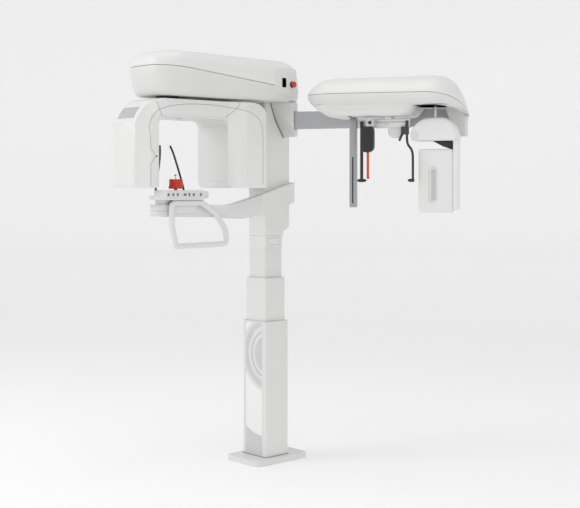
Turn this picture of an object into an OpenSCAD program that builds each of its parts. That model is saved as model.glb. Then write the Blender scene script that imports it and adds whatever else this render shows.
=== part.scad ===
// Panoramic x-ray machine with a cephalometric arm, on a telescopic floor column.
// Origin: on the floor, on the column's centre line. +X is the machine's right, +Y its back, +Z up.

/* [Base] */
// Width of the base cover, left to right
base_w = 244; // [236:1:300]
// Distance from the column's centre line to the front of the base cover
base_front = 166; // [156:1:260]
// Distance from the column's centre line to the back of the base cover
base_back = 190; // [170:1:300]
// Height of the base cover
base_h = 30; // [28:1:50]
// Thickness of the steel floor plate
plate_t = 12; // [8:1:16]
// Spacing of the floor bolts, left to right
bolt_dx = 180; // [150:1:190]
// Spacing of the floor bolts, front to back
bolt_dy = 250; // [220:1:260]
// Radius of a floor bolt's hole
bolt_r = 7; // [4:0.5:9]

/* [Column] */
// Width of the fixed column stage
column_w = 180; // [170:1:220]
// Depth of the fixed column stage
column_d = 162; // [152:1:200]
// Height of the top of the fixed stage
outer_top = 724; // [650:1:800]
// Wall of every column stage
column_wall = 5; // [3:0.5:6]
// Gap between one stage and the next, left and right
stage_gap_x = 7.5; // [6:0.5:9]
// Gap between one stage and the next, front and back
stage_gap_y = 5; // [4:0.5:7]
// Length of the middle stage
mid_len = 617; // [560:1:700]
// How far the middle stage stands out of the fixed one at rest
mid_out = 223; // [200:1:300]
// How far the upper stage stands out of the middle one at rest, up to its collar
inner_out = 156; // [152:1:240]
// Height of the collar on the upper stage
collar_h = 61; // [40:1:80]
// Length of the upper stage hidden in the middle one
inner_hidden = 387; // [300:1:400]

/* [Carriage] */
// Height from the collar's top to the overhead's underside
carriage_h = 686; // [640:1:760]
// How far the carriage's back stands behind the column's centre line
carriage_back = 114; // [100:1:140]
// Wall of the moulded covers
cover_wall = 3; // [2:0.5:4]

/* [Overhead] */
// Half width of the overhead
over_half = 195; // [180:1:230]
// Distance from the column's centre line to the overhead's front end
over_front = 795; // [790:1:860]
// Distance from the column's centre line to the overhead's back end
over_back = 118; // [116:1:150]
// Height of the overhead from underside to seam
over_low = 100; // [90:1:120]
// Height of the overhead's cover above its seam
over_high = 118; // [100:1:150]

/* [Rotating arm] */
// Distance from the column's centre line to the axis of rotation
axis_y = 640; // [630:1:660]
// Distance from the axis of rotation to the outer face of the detector leg
reach_front = 260; // [240:1:280]
// Distance from the axis of rotation to the back of the source leg
reach_back = 530; // [500:1:534]
// Depth of the detector leg
leg_front_d = 135; // [120:1:150]
// Depth of the source leg, rear cover included
leg_back_d = 247; // [230:1:260]
// Half width of the detector leg
leg_front_half = 97; // [88:1:110]
// Half width of the source leg
leg_back_half = 150; // [135:1:165]
// Height of the arm over all
arm_h = 425; // [400:1:430]
// Depth of the bridge that joins the legs
bridge_h = 88; // [80:1:100]
// Gap between the arm and the overhead
arm_gap = 15; // [10:1:25]

/* [Chin support and panel] */
// Height of the top of the control panel below the arm's lowest edge
panel_drop = 12; // [8:1:20]
// Width of the control panel, front to back of the machine
panel_len = 256; // [220:1:280]
// Depth of the control panel
panel_d = 86; // [80:1:100]
// Height of the control panel
panel_h = 46; // [40:1:60]
// Radius of the rods that steady the temples
temple_rod_r = 4; // [3:0.5:5]
// Opening travel of each temple rod
temple_travel = 10; // [6:1:12]
// Diameter of the hand grip's tube
grip_d = 28; // [22:1:34]

/* [Ceph unit] */
// Angle of the ceph bar behind the machine's right
bar_angle = 27; // [20:1:35]
// Height of the ceph bar
bar_h = 90; // [70:1:110]
// Thickness of the ceph bar
bar_t = 35; // [28:1:45]
// Length of the ceph unit's housing
ceph_len = 799; // [760:1:860]
// Width of the ceph unit's housing
ceph_w = 370; // [350:1:420]
// Opening between the two ear rods
ear_gap = 246; // [200:1:250]
// Height of the sensor cassette
cassette_h = 300; // [260:1:320]
// Width of the sensor cassette
cassette_w = 168; // [150:1:170]

/* [Hidden] */

// Gap between a sliding face and its guide
slide_gap = 0.3;
// Radial gap of a shaft in its bore
run_gap = 0.05;
// Gap at a seam between two covers
seam = 0.3;
// A cut runs this far past the face that it opens
over = 1;

// Heights, from the floor up
mid_top = outer_top + mid_out;
mid_z = mid_top - mid_len;
collar_z = mid_top + inner_out;
head_z = collar_z + collar_h;
inner_z = mid_top - inner_hidden;
over_z = head_z + carriage_h;
seam_z = over_z + over_low;
arm_top = over_z - arm_gap;
arm_z = arm_top - arm_h;
open_z = arm_top - bridge_h;
panel_top = arm_z - panel_drop;
panel_z = panel_top - panel_h;

// Column stages
mid_w = column_w - 2 * (column_wall + stage_gap_x);
mid_d = column_d - 2 * (column_wall + stage_gap_y);
inner_w = mid_w - 2 * (column_wall + stage_gap_x);
inner_d = mid_d - 2 * (column_wall + stage_gap_y);
column_r = 14;
collar_wall = 2.5;
head_plate_t = 8;
decor_w = 126;
decor_depth = 2.5;
decor_t = 2;
pad_h = 50;
pad_w = 60;
spindle_r = 9;
spindle_x = 32;
spindle_foot_r = 24;
motor_h = 60;
motor_d = 70;
lower_spindle_top = outer_top - 24;
upper_spindle_top = mid_z + motor_h + 460;

// Carriage
post_w = 100;
post_d = 90;
post_wall = 5;
post_y = 5;
shell_w = inner_w + 2 * collar_wall;
shell_front = (inner_d + 2 * collar_wall) / 2;
frame_z = over_z + 10;
frame_t = 8;
window_gap = 0.5;

// Overhead
over_r = 150;
over_back_r = 120;
over_crown = 120;
rail_x = 85;
rail_w = 15;
rail_h = 14;
rail_len = 255;
gantry_w = 210;
gantry_len = 170;
gantry_t = 10;
block_w = 34;
block_len = 40;
block_h = 24;
gantry_back = 15;
gantry_fore = 20;
hub_r = 35;
hub_slot_r = 45;
bearing_r = 60;
bearing_h = 16;
flange_r = 55;
hub_head_r = 50;
hub_head_t = 10;
gantry_z = frame_z + frame_t + block_h;

// Rotating arm
front_y = -axis_y - reach_front;
back_y = -axis_y + reach_back;
leg_front_y = front_y + leg_front_d;
leg_back_y = back_y - leg_back_d;
liner_d = 47;
rear_cover_d = 32;
bridge_seam_y = front_y + 130;
source_seam_y = back_y - 195;
liner_seam_z = open_z + 15;
beam_half = 60;
beam_t = 6;
beam_z = open_z + 15;
beam_top = arm_top - 30;
hang_z = arm_z + 35;
detector_t = 30;
detector_z = arm_z + 45;
detector_h = 170;
tube_half = 92;
tube_d = 130;
tube_z = arm_z + 65;
tube_h = 165;
window_half = 40;

// Chin support and panel
panel_x = 53;
hub_top = panel_z - 22;
hub_low = hub_top - 58;
hub_x = 98;
chin_arm_t = 37;
temple_x = 20;
temple_y = 85;
temple_path = [[0, 0, 0], [0, 0, 36], [-8, -18, 108], [-14, -32, 158], [-24, -44, 206], [-40, -54, 250]];
temple_foot = 12;
temple_slot_z = panel_z + 6;
temple_slot_h = 14;
knob_r = 18;
knob_len = 44;
knob_x = 96;
knob_shaft_r = 5;
knob_shaft_len = 30;
chin_x = 66;
chin_post_r = 8;
cup_r = 34;
cup_h = 46;
cup_wall = 4;
bite_r = 2.5;
key_drop = 20;
key_t = 6;
key_out = 1.5;
key_gap = 0.4;
key_y = [-98, -70, -44, 0, 26, 52, 96];
grip_x = 108;
grip_path = [[-720, panel_z, 34], [-720, panel_z - 120, 60], [-692, panel_z - 235, 28],
    [-353, panel_z - 230, 34], [-362, panel_z - 140, 60], [-432, panel_z - 52, 60], [-520, panel_z, 50]];

// Switch and stop button on the overhead's right side
console_y = [-112, 32];
console_z = [over_z + 42, over_z + 124];
console_x = over_half + 4;
switch_y = -52;
switch_z = over_z + 93;
switch_w = 22;
switch_h = 42;
stop_y = 4;
stop_z = over_z + 86;
stop_r = 15;
stop_stem_r = 8;

// Ceph unit, in a frame along its bar: u along the bar, v towards the back
ceph_x = 120;
ceph_y = 50;
bar_z = over_z - 137;
bar_u = 40;
bar_wall = 4;
ceph_u = 178;
ceph_back = 35;
ceph_front = ceph_back - ceph_w;
ceph_z = bar_z + bar_h;
ceph_seam = ceph_z + 59;
ceph_high = 82;
ceph_r = 150;
keel_z = ceph_z - 51;
keel_u = [300, 700];
keel_v = [-300, -20];
head_u = 588.5;
head_v = -220;
slot_half = 10;
collimator_u = 416;
collimator_half = 17;
collimator_low = bar_z - 397;
collimator_range = [-290, -150];
sensor_u = 815;
sensor_v = -200;
sensor_range = [-284, -116];
rider_half = 24;
rider_t = 14;
post_r = 8;
rail_low = keel_z - 54;
rail_high = keel_z - 13;
rail_front = -240;
rail_deep = 40;
rail_u = [445, 700];
ear_z = rail_low - 252;
ear_rod = 14;
ear_t = 12;
ear_tip_r = 8;
ear_step = 24;
dome_u = [715, 930];
dome_low = keel_z - 120;
dome_high = keel_z - 8;
dome_half = 50;
spine_t = 23;
cassette_top = dome_low - 38;
cassette_t = 44;
tail_u = [860, 960];
bar_end = tail_u[0];
nasion_u = 503;
nasion_v = rail_front - slide_gap - ear_t - 18;
nasion_r = 6;
tail_v = [-50, 30];
tail_z = ceph_z - 143;

// Unit vector along v
function unit(v) = v / norm(v);

// Corner i of an outline after every side has moved inwards by t; corners run counter-clockwise
function inset_corner(c, i, t) =
    let (n = len(c), p = c[i], a = unit([p.x - c[(i + n - 1) % n].x, p.y - c[(i + n - 1) % n].y]))
    let (b = unit([c[(i + 1) % n].x - p.x, c[(i + 1) % n].y - p.y]))
    let (na = [-a.y, a.x], nb = [-b.y, b.x], left = a.x * b.y - a.y * b.x > 0)
    let (move = t * (na + nb) / (1 + na * nb))
    [p.x + move.x, p.y + move.y, max(p.z + (left ? -t : t), 0.5)];

// The outline's corners moved inwards by t
function inset(c, t) = [for (i = [0 : len(c) - 1]) inset_corner(c, i, t)];

// Points of the arc that rounds corner i
function arc_points(c, i, steps) =
    let (n = len(c), p = [c[i].x, c[i].y], r = c[i].z)
    let (a = unit([c[(i + n - 1) % n].x, c[(i + n - 1) % n].y] - p))
    let (b = unit([c[(i + 1) % n].x, c[(i + 1) % n].y] - p))
    let (half = acos(a * b) / 2, centre = p + unit(a + b) * r / sin(half))
    let (from = p + a * r / tan(half) - centre, to = p + b * r / tan(half) - centre)
    let (start = atan2(from.y, from.x), turn = atan2(from.x * to.y - from.y * to.x, from * to))
    [for (k = [0 : steps]) centre + r * [cos(start + turn * k / steps), sin(start + turn * k / steps)]];

// An outline with each corner [a, b, radius] rounded
function rounded(c, steps = 5) = [for (i = [0 : len(c) - 1]) for (q = arc_points(c, i, steps)) q];

// Corners of a rectangle from low to high
function box_corners(low, high, r) =
    [[low.x, low.y, r], [high.x, low.y, r], [high.x, high.y, r], [low.x, high.y, r]];

// Corners of a rectangle centred on the origin
function rect_corners(w, d, r) = box_corners([-w / 2, -d / 2], [w / 2, d / 2], r);

module prism_z(corners, z0, z1) {
    translate([0, 0, z0]) linear_extrude(z1 - z0) polygon(rounded(corners));
}

// Corners are [y, z, radius]; the solid runs along X
module prism_x(corners, x0, x1) {
    translate([x0, 0, 0]) rotate([90, 0, 90]) linear_extrude(x1 - x0) polygon(rounded(corners));
}

module block(low, high) {
    translate(low) cube(high - low);
}

module rod_z(r, z0, z1) {
    translate([0, 0, z0]) cylinder(r = r, h = z1 - z0, $fn = 64);
}

module rod_x(r, x0, x1) {
    translate([x0, 0, 0]) rotate([0, 90, 0]) cylinder(r = r, h = x1 - x0, $fn = 64);
}

module rod_y(r, y0, y1) {
    translate([0, y0, 0]) rotate([-90, 0, 0]) cylinder(r = r, h = y1 - y0, $fn = 64);
}

// One telescopic stage
module stage(w, d, z0, z1) {
    difference() {
        prism_z(rect_corners(w, d, column_r), z0, z1);
        prism_z(inset(rect_corners(w, d, column_r), column_wall), z0 - over, z1 + over);
    }
}

// ---- Base and column ----

module floor_holes(r, z0, z1) {
    for (x = [-1, 1])
        for (y = [-1, 1])
            translate([x * bolt_dx / 2, y * bolt_dy / 2, 0])
                rod_z(r, z0, z1);
}

function base_corners(t) =
    box_corners([-base_w / 2 + t, -base_front + t], [base_w / 2 - t, base_back - t], 26 - t);

module base_plate() {
    color("dimgray") difference() {
        prism_z(base_corners(cover_wall + seam), 0, plate_t);
        floor_holes(bolt_r, -over, plate_t + over);
    }
}

module base_cover() {
    color("whitesmoke") difference() {
        union() {
            prism_z(base_corners(0), 0, base_h - 6);
            prism_z(base_corners(2), base_h - 6.01, base_h - 2);
            prism_z(base_corners(4), base_h - 2.01, base_h);
        }
        prism_z(base_corners(cover_wall), -over, base_h - cover_wall);
        prism_z(inset(rect_corners(column_w, column_d, column_r), -seam), 0, base_h + over);
    }
}

module column_outer() {
    color("whitesmoke") difference() {
        stage(column_w, column_d, plate_t, outer_top);
        block([-decor_w / 2, -column_d / 2 - over, base_h + 4],
            [decor_w / 2, decor_depth - column_d / 2, outer_top - 8]);
    }
}

module column_front_panel() {
    color("gainsboro")
        block([seam - decor_w / 2, decor_depth - decor_t - column_d / 2, base_h + 4 + seam],
            [decor_w / 2 - seam, decor_depth - column_d / 2, outer_top - 8 - seam]);
}

module column_mid() {
    color("whitesmoke") stage(mid_w, mid_d, mid_z, mid_top);
}

module column_inner() {
    color("whitesmoke") stage(inner_w, inner_d, inner_z, head_z - head_plate_t + 2);
}

module column_collar() {
    color("whitesmoke") difference() {
        prism_z(rect_corners(shell_w, 2 * shell_front, column_r + 1), collar_z, head_z);
        prism_z(inset(rect_corners(inner_w, inner_d, column_r), -seam), collar_z - over, head_z + over);
    }
}

// Four pads on the inside of a stage that is w by d outside, just below its top
module pads(w, d, top) {
    in_x = w / 2 - column_wall;
    in_y = d / 2 - column_wall;
    for (s = [-1, 1]) {
        translate([s * (in_x - (stage_gap_x - slide_gap) / 2), 0, top - 10 - pad_h / 2])
            cube([stage_gap_x - slide_gap, pad_w, pad_h], center = true);
        translate([0, s * (in_y - (stage_gap_y - slide_gap) / 2), top - 10 - pad_h / 2])
            cube([pad_w, stage_gap_y - slide_gap, pad_h], center = true);
    }
}

module glide_pads_lower() {
    color("ivory") pads(column_w, column_d, outer_top);
}

module glide_pads_upper() {
    color("ivory") pads(mid_w, mid_d, mid_top);
}

module spindle(x, z0, z1) {
    translate([x, 0, 0]) {
        rod_z(spindle_r, z0, z1);
        rod_z(spindle_foot_r, z0, z0 + 10);
    }
}

module lift_spindle_lower() {
    color("silver") spindle(-spindle_x, plate_t, lower_spindle_top);
}

module lift_spindle_upper() {
    color("silver") spindle(spindle_x, mid_z + motor_h, upper_spindle_top);
}

module lift_motor_lower() {
    color("slategray") difference() {
        block([column_wall - mid_w / 2, -motor_d / 2, mid_z],
            [mid_w / 2 - column_wall, motor_d / 2, mid_z + motor_h]);
        translate([-spindle_x, 0, 0]) rod_z(spindle_r + run_gap, mid_z - over, mid_z + motor_h + over);
    }
}

module lift_motor_upper() {
    color("slategray") difference() {
        block([column_wall - inner_w / 2, -motor_d / 2, inner_z],
            [inner_w / 2 - column_wall, motor_d / 2, inner_z + motor_h]);
        translate([spindle_x, 0, 0]) rod_z(spindle_r + run_gap, inner_z - over, inner_z + motor_h + over);
        translate([-spindle_x, 0, 0]) rod_z(spindle_r + 5, inner_z - over, inner_z + motor_h + over);
    }
}

// ---- Carriage ----

module carriage_frame() {
    post = rect_corners(post_w, post_d, 6);
    color("dimgray") {
        prism_z(rect_corners(inner_w - 1, inner_d - 1, column_r), head_z - head_plate_t + 2, head_z + 2);
        translate([0, post_y, 0]) difference() {
            prism_z(post, head_z + 2, frame_z);
            prism_z(inset(post, post_wall), head_z + 2, frame_z + over);
        }
    }
}

function carriage_side(t) = inset([[-shell_front, head_z, 0.6], [shell_front, head_z, 0.6],
    [shell_front, head_z + 20, 8], [carriage_back, head_z + 50, 8], [carriage_back, over_z, 0.6],
    [-shell_front, over_z, 0.6]], t);

function carriage_plan(t) =
    inset(box_corners([-shell_w / 2, -shell_front], [shell_w / 2, carriage_back], column_r + 1), t);

module carriage_shell() {
    color("whitesmoke") difference() {
        intersection() {
            prism_x(carriage_side(0), -shell_w, shell_w);
            prism_z(carriage_plan(0), head_z - over, over_z + over);
        }
        intersection() {
            prism_x(carriage_side(cover_wall), -shell_w, shell_w);
            prism_z(carriage_plan(cover_wall), head_z - over, over_z + over);
        }
        prism_z(rect_corners(inner_w, inner_d, column_r), head_z - over, head_z + 10);
        prism_z(carriage_plan(cover_wall + 1), over_z - 10, over_z + over);
        chin_tongue(window_gap);
        bracket_tongue(window_gap);
    }
}

// ---- Overhead ----

function over_plan(t, back = 0) = inset([[-over_half, -over_front, over_r], [over_half, -over_front, over_r],
    [over_half, over_back + back, over_back_r], [-over_half, over_back + back, over_back_r]], t);

module over_slice(t, z, back = 0) {
    prism_z(over_plan(t, back), z, z + 0.5);
}

module over_low_solid(t) {
    hull() {
        over_slice(34 + t, over_z + t, 30);
        over_slice(14 + t, over_z + 16 + t, 12);
        over_slice(3 + t, over_z + 44 + t, 3);
        over_slice(t, seam_z - 0.5);
    }
}

module over_high_solid(t) {
    hull() {
        over_slice(t, seam_z + seam);
        over_slice(3 + t, seam_z + 0.32 * over_high);
        over_slice(14 + t, seam_z + 0.58 * over_high);
        over_slice(38 + t, seam_z + 0.8 * over_high);
        over_slice(74 + t, seam_z + 0.94 * over_high - t);
        over_slice(over_crown + t, seam_z + over_high - 0.5 - t);
    }
}

module hub_slot(r, z0, z1) {
    prism_z(box_corners([-r, -axis_y - gantry_fore - r], [r, -axis_y + gantry_back + r], r - 1), z0, z1);
}

module console(gap) {
    block([over_half - 14, console_y[0] - gap, console_z[0] - gap],
        [console_x + gap, console_y[1] + gap, console_z[1] + gap]);
}

module overhead_frame() {
    color("dimgray") difference() {
        prism_z(box_corners([-125, 30 - over_front], [125, 50], 70), frame_z, frame_z + frame_t);
        hub_slot(hub_slot_r, frame_z - over, frame_z + frame_t + over);
    }
}

module overhead_lower_shell() {
    color("whitesmoke") difference() {
        union() {
            difference() {
                over_low_solid(0);
                over_low_solid(cover_wall);
                over_slice(cover_wall, seam_z - 0.6);
            }
            console(0);
        }
        hub_slot(hub_slot_r, over_z - over, over_z + 8);
        translate([0, post_y, 0]) prism_z(rect_corners(post_w + 1, post_d + 1, 6), over_z - over, over_z + 8);
        switch_pocket(slide_gap);
        translate([0, stop_y, stop_z]) rod_x(stop_stem_r + run_gap, over_half - 20, console_x + over);
    }
}

module overhead_top_cover() {
    color("white") difference() {
        over_high_solid(0);
        over_high_solid(cover_wall);
        over_slice(cover_wall, seam_z + seam - 0.1);
        console(window_gap);
    }
}

module gantry_rails() {
    color("silver")
        for (s = [-1, 1])
            block([s * rail_x - rail_w / 2, 45 - over_front, frame_z + frame_t],
                [s * rail_x + rail_w / 2, 45 - over_front + rail_len, frame_z + frame_t + rail_h]);
}

// A runner that sits astride a rail
module runner(x, y) {
    z = frame_z + frame_t;
    translate([x, y, 0]) difference() {
        block([-block_w / 2, -block_len / 2, z + 1], [block_w / 2, block_len / 2, z + block_h]);
        block([-rail_w / 2 - slide_gap, -block_len, z],
            [rail_w / 2 + slide_gap, block_len, z + rail_h + slide_gap]);
    }
}

module gantry_carriage() {
    plate = box_corners([-gantry_w / 2, -axis_y - gantry_len / 2], [gantry_w / 2, gantry_len / 2 - axis_y], 12);
    color("slategray") {
        difference() {
            prism_z(plate, gantry_z, gantry_z + gantry_t);
            translate([0, -axis_y, 0]) rod_z(bearing_r, gantry_z - over, gantry_z + gantry_t + over);
        }
        for (s = [-1, 1])
            for (e = [-1, 1])
                runner(s * rail_x, e * (gantry_len - block_len) / 2 - axis_y);
    }
}

module rotation_bearing() {
    color("silver") translate([0, -axis_y, 0]) difference() {
        rod_z(bearing_r, gantry_z - 3, gantry_z - 3 + bearing_h);
        rod_z(hub_r, gantry_z - 3 - over, gantry_z - 3 + bearing_h + over);
    }
}

// ---- Rotating arm ----

function arm_side(t) = inset([[front_y, arm_z, 12], [leg_front_y, arm_z, 12], [leg_front_y, open_z, 30],
    [leg_back_y, open_z, 30], [leg_back_y, arm_z, 30], [back_y, arm_z, 25], [back_y, arm_top, 100],
    [front_y, arm_top, 165]], t);

function arm_plan(t) = inset([[-leg_front_half, front_y, 22], [leg_front_half, front_y, 22],
    [leg_front_half + 4, leg_front_y, 1], [leg_back_half - 32, leg_back_y, 8],
    [leg_back_half, leg_back_y + 105, 40],
    [leg_back_half, back_y, 28], [-leg_back_half, back_y, 28], [-leg_back_half, leg_back_y + 105, 40],
    [32 - leg_back_half, leg_back_y, 8], [-leg_front_half - 4, leg_front_y, 1]], t);

module arm_solid(t) {
    intersection() {
        prism_x(arm_side(t), -leg_back_half - over, leg_back_half + over);
        prism_z(arm_plan(t), arm_z - over, arm_top + over);
    }
}

// The skin of the arm inside a region of the side view, given as [y, z] points
module arm_skin(region) {
    intersection() {
        difference() {
            arm_solid(0);
            arm_solid(cover_wall);
        }
        translate([-leg_back_half - over, 0, 0]) rotate([90, 0, 90])
            linear_extrude(2 * (leg_back_half + over)) polygon(region);
    }
}

module arm_frame() {
    y0 = leg_front_y - cover_wall - detector_t - beam_t;
    y1 = back_y - 48;
    head_low = gantry_z - 3 + bearing_h + slide_gap;
    color("dimgray") {
        difference() {
            block([-beam_half, y0, beam_z + 10], [beam_half, y1, beam_top]);
            block([beam_t - beam_half, y0 - over, beam_z], [beam_half - beam_t, y1 + over, beam_top - beam_t]);
        }
        block([-beam_half, y0, hang_z], [beam_half, y0 + beam_t, beam_top]);
        block([-beam_half, y1, hang_z], [beam_half, y1 + beam_t, beam_top]);
        translate([0, -axis_y, 0]) difference() {
            union() {
                rod_z(flange_r, beam_top, over_z - 5);
                rod_z(hub_r - run_gap, over_z - 5, gantry_z + bearing_h + 12);
                rod_z(hub_head_r, head_low, head_low + hub_head_t);
            }
            rod_z(hub_r - 10, beam_top - beam_t - over, gantry_z + bearing_h + 20);
        }
    }
}

module detector_leg_shell() {
    far = front_y - over;
    split = front_y + leg_front_d - liner_d;
    color("whitesmoke")
        arm_skin([[far, arm_z - over], [split - seam, arm_z - over], [split - seam, liner_seam_z + seam],
            [bridge_seam_y - seam, liner_seam_z + seam], [bridge_seam_y - seam, arm_top + over],
            [far, arm_top + over]]);
}

module arm_inner_liner() {
    split = front_y + leg_front_d - liner_d;
    color("white")
        arm_skin([[split, arm_z - over], [leg_back_y - 0.5, arm_z - over], [leg_back_y - 0.5, liner_seam_z],
            [split, liner_seam_z]]);
}

module bridge_cover() {
    color("whitesmoke") difference() {
        arm_skin([[bridge_seam_y, liner_seam_z + seam], [source_seam_y - seam, liner_seam_z + seam],
            [source_seam_y - seam, arm_top + over], [bridge_seam_y, arm_top + over]]);
        translate([0, -axis_y, 0]) rod_z(flange_r + seam, beam_top, arm_top + over);
    }
}

module source_leg_shell() {
    color("whitesmoke")
        arm_skin([[leg_back_y - 0.2, arm_z - over], [back_y - rear_cover_d - seam, arm_z - over],
            [back_y - rear_cover_d - seam, arm_top + over], [source_seam_y, arm_top + over],
            [source_seam_y, liner_seam_z + seam], [leg_back_y - 0.2, liner_seam_z + seam]]);
}

module source_leg_rear_cover() {
    color("whitesmoke")
        arm_skin([[back_y - rear_cover_d, arm_z - over], [back_y + over, arm_z - over],
            [back_y + over, arm_top + over], [back_y - rear_cover_d, arm_top + over]]);
}

module flat_panel_detector() {
    y1 = leg_front_y - cover_wall;
    color("darkslategray") block([-70, y1 - detector_t, detector_z], [70, y1, detector_z + detector_h]);
}

module xray_tube_head() {
    y1 = back_y - 48;
    color("gray") prism_z(box_corners([-tube_half, y1 - tube_d], [tube_half, y1], 20), tube_z, tube_z + tube_h);
}

module beam_collimator() {
    y1 = back_y - 48 - tube_d;
    color("slategray") difference() {
        block([-window_half, leg_back_y + cover_wall, tube_z + 45], [window_half, y1, tube_z + 115]);
        block([-4, leg_back_y, tube_z + 50], [4, y1 + over, tube_z + 110]);
    }
}

// ---- Chin support and control panel ----

module chin_tongue(gap) {
    block([post_w / 2, -30 - gap, arm_z - 90 - gap], [shell_w / 2 + 2, 40 + gap, arm_z - 30 + gap]);
}

module chin_arm() {
    x0 = shell_w / 2 + seam;
    x1 = x0 + chin_arm_t;
    side = [[-axis_y - 125, hub_low + 2, 22], [-400, hub_low - 6, 200], [-250, hub_low - 18, 200],
        [-80, hub_low + 8, 100], [carriage_back, hub_low + 66, 4], [carriage_back, hub_top + 111, 4],
        [-80, hub_top + 56, 200], [-290, hub_top - 4, 200], [-axis_y - 125, hub_top, 22]];
    plan = [[8, -axis_y - 125, 34], [hub_x, -axis_y - 125, 34], [hub_x, 100 - axis_y, 60],
        [92, -400, 120], [x1, -110, 200], [x1, carriage_back, 10], [x0, carriage_back, 1],
        [x0, -80, 40], [10, -400, 100]];
    color("whitesmoke") {
        intersection() {
            prism_x(side, 0, x1 + over);
            prism_z(plan, hub_low - 40, hub_top + 140);
        }
        chin_tongue(0);
    }
}

module panel_housing() {
    low = [panel_x, -axis_y - panel_len / 2];
    high = [panel_x + panel_d, panel_len / 2 - axis_y];
    color("whitesmoke") difference() {
        union() {
            prism_z(box_corners(low, high, 20), panel_z, panel_top);
            prism_z(box_corners([4, low.y + 14], [panel_x + 20, high.y - 14], 8),
                panel_z, temple_slot_z + temple_slot_h);
            prism_z(box_corners([20, -axis_y - 90], [90, 90 - axis_y], 14), hub_top, panel_z + 1);
        }
        for (s = [-1, 1])
            translate([temple_x, s * temple_y - axis_y, 0])
                block([-temple_foot / 2 - slide_gap, -26, temple_slot_z],
                    [temple_foot / 2 + slide_gap, 26, temple_slot_z + temple_slot_h + over]);
        translate([chin_x, -axis_y, 0]) rod_z(chin_post_r + run_gap, panel_z + 8, panel_top + over);
        translate([knob_x, 0, panel_top - key_drop])
            rod_y(knob_shaft_r + run_gap, high.y - knob_shaft_len - 1, high.y + over);
        for (i = [0 : len(key_y) - 1])
            key_solid(i, key_gap, key_t + 2, over);
    }
}

// Outline of key i, in the panel's face, as [y, z] corners
function key_corners(i) =
    i < 3 ? rect_corners(14, 14, 6.9) :
    i == 3 ? rect_corners(19, 11, 5.4) :
    i == 4 ? rect_corners(10, 16, 2) :
    i == 5 ? rect_corners(13, 13, 2) : [[-9, 0, 1], [0, -9, 1], [9, 0, 1], [0, 9, 1]];

module key_solid(i, gap, depth, out) {
    face = panel_x + panel_d;
    translate([0, key_y[i] - axis_y, panel_top - key_drop])
        prism_x(inset(key_corners(i), -gap), face - depth, face + out);
}

module key_cap(i) {
    color("lightgray") key_solid(i, 0, key_t, key_out);
}

module key_1() { key_cap(0); }
module key_2() { key_cap(1); }
module key_3() { key_cap(2); }
module key_4() { key_cap(3); }
module key_5() { key_cap(4); }
module key_6() { key_cap(5); }
module key_7() { key_cap(6); }

module temple_knob() {
    y = panel_len / 2 - axis_y;
    color("gainsboro") translate([knob_x, 0, panel_top - key_drop]) {
        rod_y(knob_r, y + slide_gap, y + knob_len);
        rod_y(knob_shaft_r, y - knob_shaft_len, y + slide_gap + 1);
    }
}

function temple_point(i, side, z) = [temple_path[i].x, side * temple_path[i].y, z + temple_path[i].z];

// A straight round rod from a to b
module rod_between(a, b) {
    v = b - a;
    translate(a) rotate([0, acos(v.z / norm(v)), atan2(v.y, v.x)])
        cylinder(r = temple_rod_r, h = norm(v), $fn = 32);
}

// A temple rod; side is -1 at the front and 1 at the back
module temple_rod(side) {
    z = temple_slot_z + slide_gap;
    color("#202020") translate([temple_x, side * temple_y - axis_y, 0]) {
        block([-temple_foot / 2, -10, z], [temple_foot / 2, 10, z + 12]);
        for (i = [0 : len(temple_path) - 2])
            rod_between(temple_point(i, side, z + 8), temple_point(i + 1, side, z + 8));
        for (i = [1 : len(temple_path) - 1])
            translate(temple_point(i, side, z + 8)) sphere(r = temple_rod_r + 0.3, $fn = 32);
    }
}

module temple_rod_front() { temple_rod(-1); }
module temple_rod_back() { temple_rod(1); }

module chin_rest() {
    z = panel_top + 8;
    color("orangered") translate([chin_x, -axis_y, 0]) {
        difference() {
            union() {
                rod_z(cup_r, z, z + 10);
                difference() {
                    rod_z(cup_r, z, z + cup_h);
                    rod_z(cup_r - cup_wall, z + 10, z + cup_h + over);
                    block([-cup_r - over, -cup_r - over, z + 14], [-4, cup_r + over, z + cup_h + over]);
                }
            }
            rod_z(bite_r + run_gap, z - over, z + 20);
        }
        rod_z(chin_post_r, panel_z + 18, z);
    }
}

module bite_rod() {
    z = panel_top + 8;
    color("silver") translate([chin_x, -axis_y, 0]) {
        rod_z(bite_r, z + 1, z + cup_h + 22);
        translate([0, 0, z + cup_h + 19]) rod_x(4, -10, 6);
    }
}

module hand_grip() {
    color("whitesmoke") difference() {
        prism_x(grip_path, grip_x, grip_x + grip_d);
        prism_x(inset(grip_path, grip_d), grip_x - over, grip_x + grip_d + over);
    }
    color("whitesmoke") block([hub_x, -axis_y - 66, hub_top - 40], [grip_x + 1, 90 - axis_y, hub_top - 2]);
}

// ---- Switches ----

module switch_pocket(gap) {
    block([console_x - 14, switch_y - switch_w / 2 - gap, switch_z - switch_h / 2 - gap],
        [console_x + over, switch_y + switch_w / 2 + gap, switch_z + switch_h / 2 + gap]);
}

module power_switch() {
    color("#202020") intersection() {
        translate([console_x - 12, switch_y, switch_z]) rod_y(switch_h / 2 - 0.5, -switch_w / 2, switch_w / 2);
        block([console_x - 11, switch_y - switch_w, switch_z - switch_h],
            [console_x + 2, switch_y + switch_w, switch_z + switch_h]);
    }
}

module stop_button() {
    color("red") translate([0, stop_y, stop_z]) {
        rod_x(stop_stem_r, console_x - 12, console_x + 8);
        rod_x(stop_r, console_x + 8, console_x + 20);
    }
}

// ---- Ceph unit ----

module on_bar() {
    translate([ceph_x, ceph_y, 0]) rotate([0, 0, bar_angle]) children();
}

module bracket_tongue(gap) {
    block([post_w / 2, 10 - gap, bar_z + 10 - gap], [shell_w / 2 + 2, 70 + gap, bar_z + bar_h - 10 + gap]);
}

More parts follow.
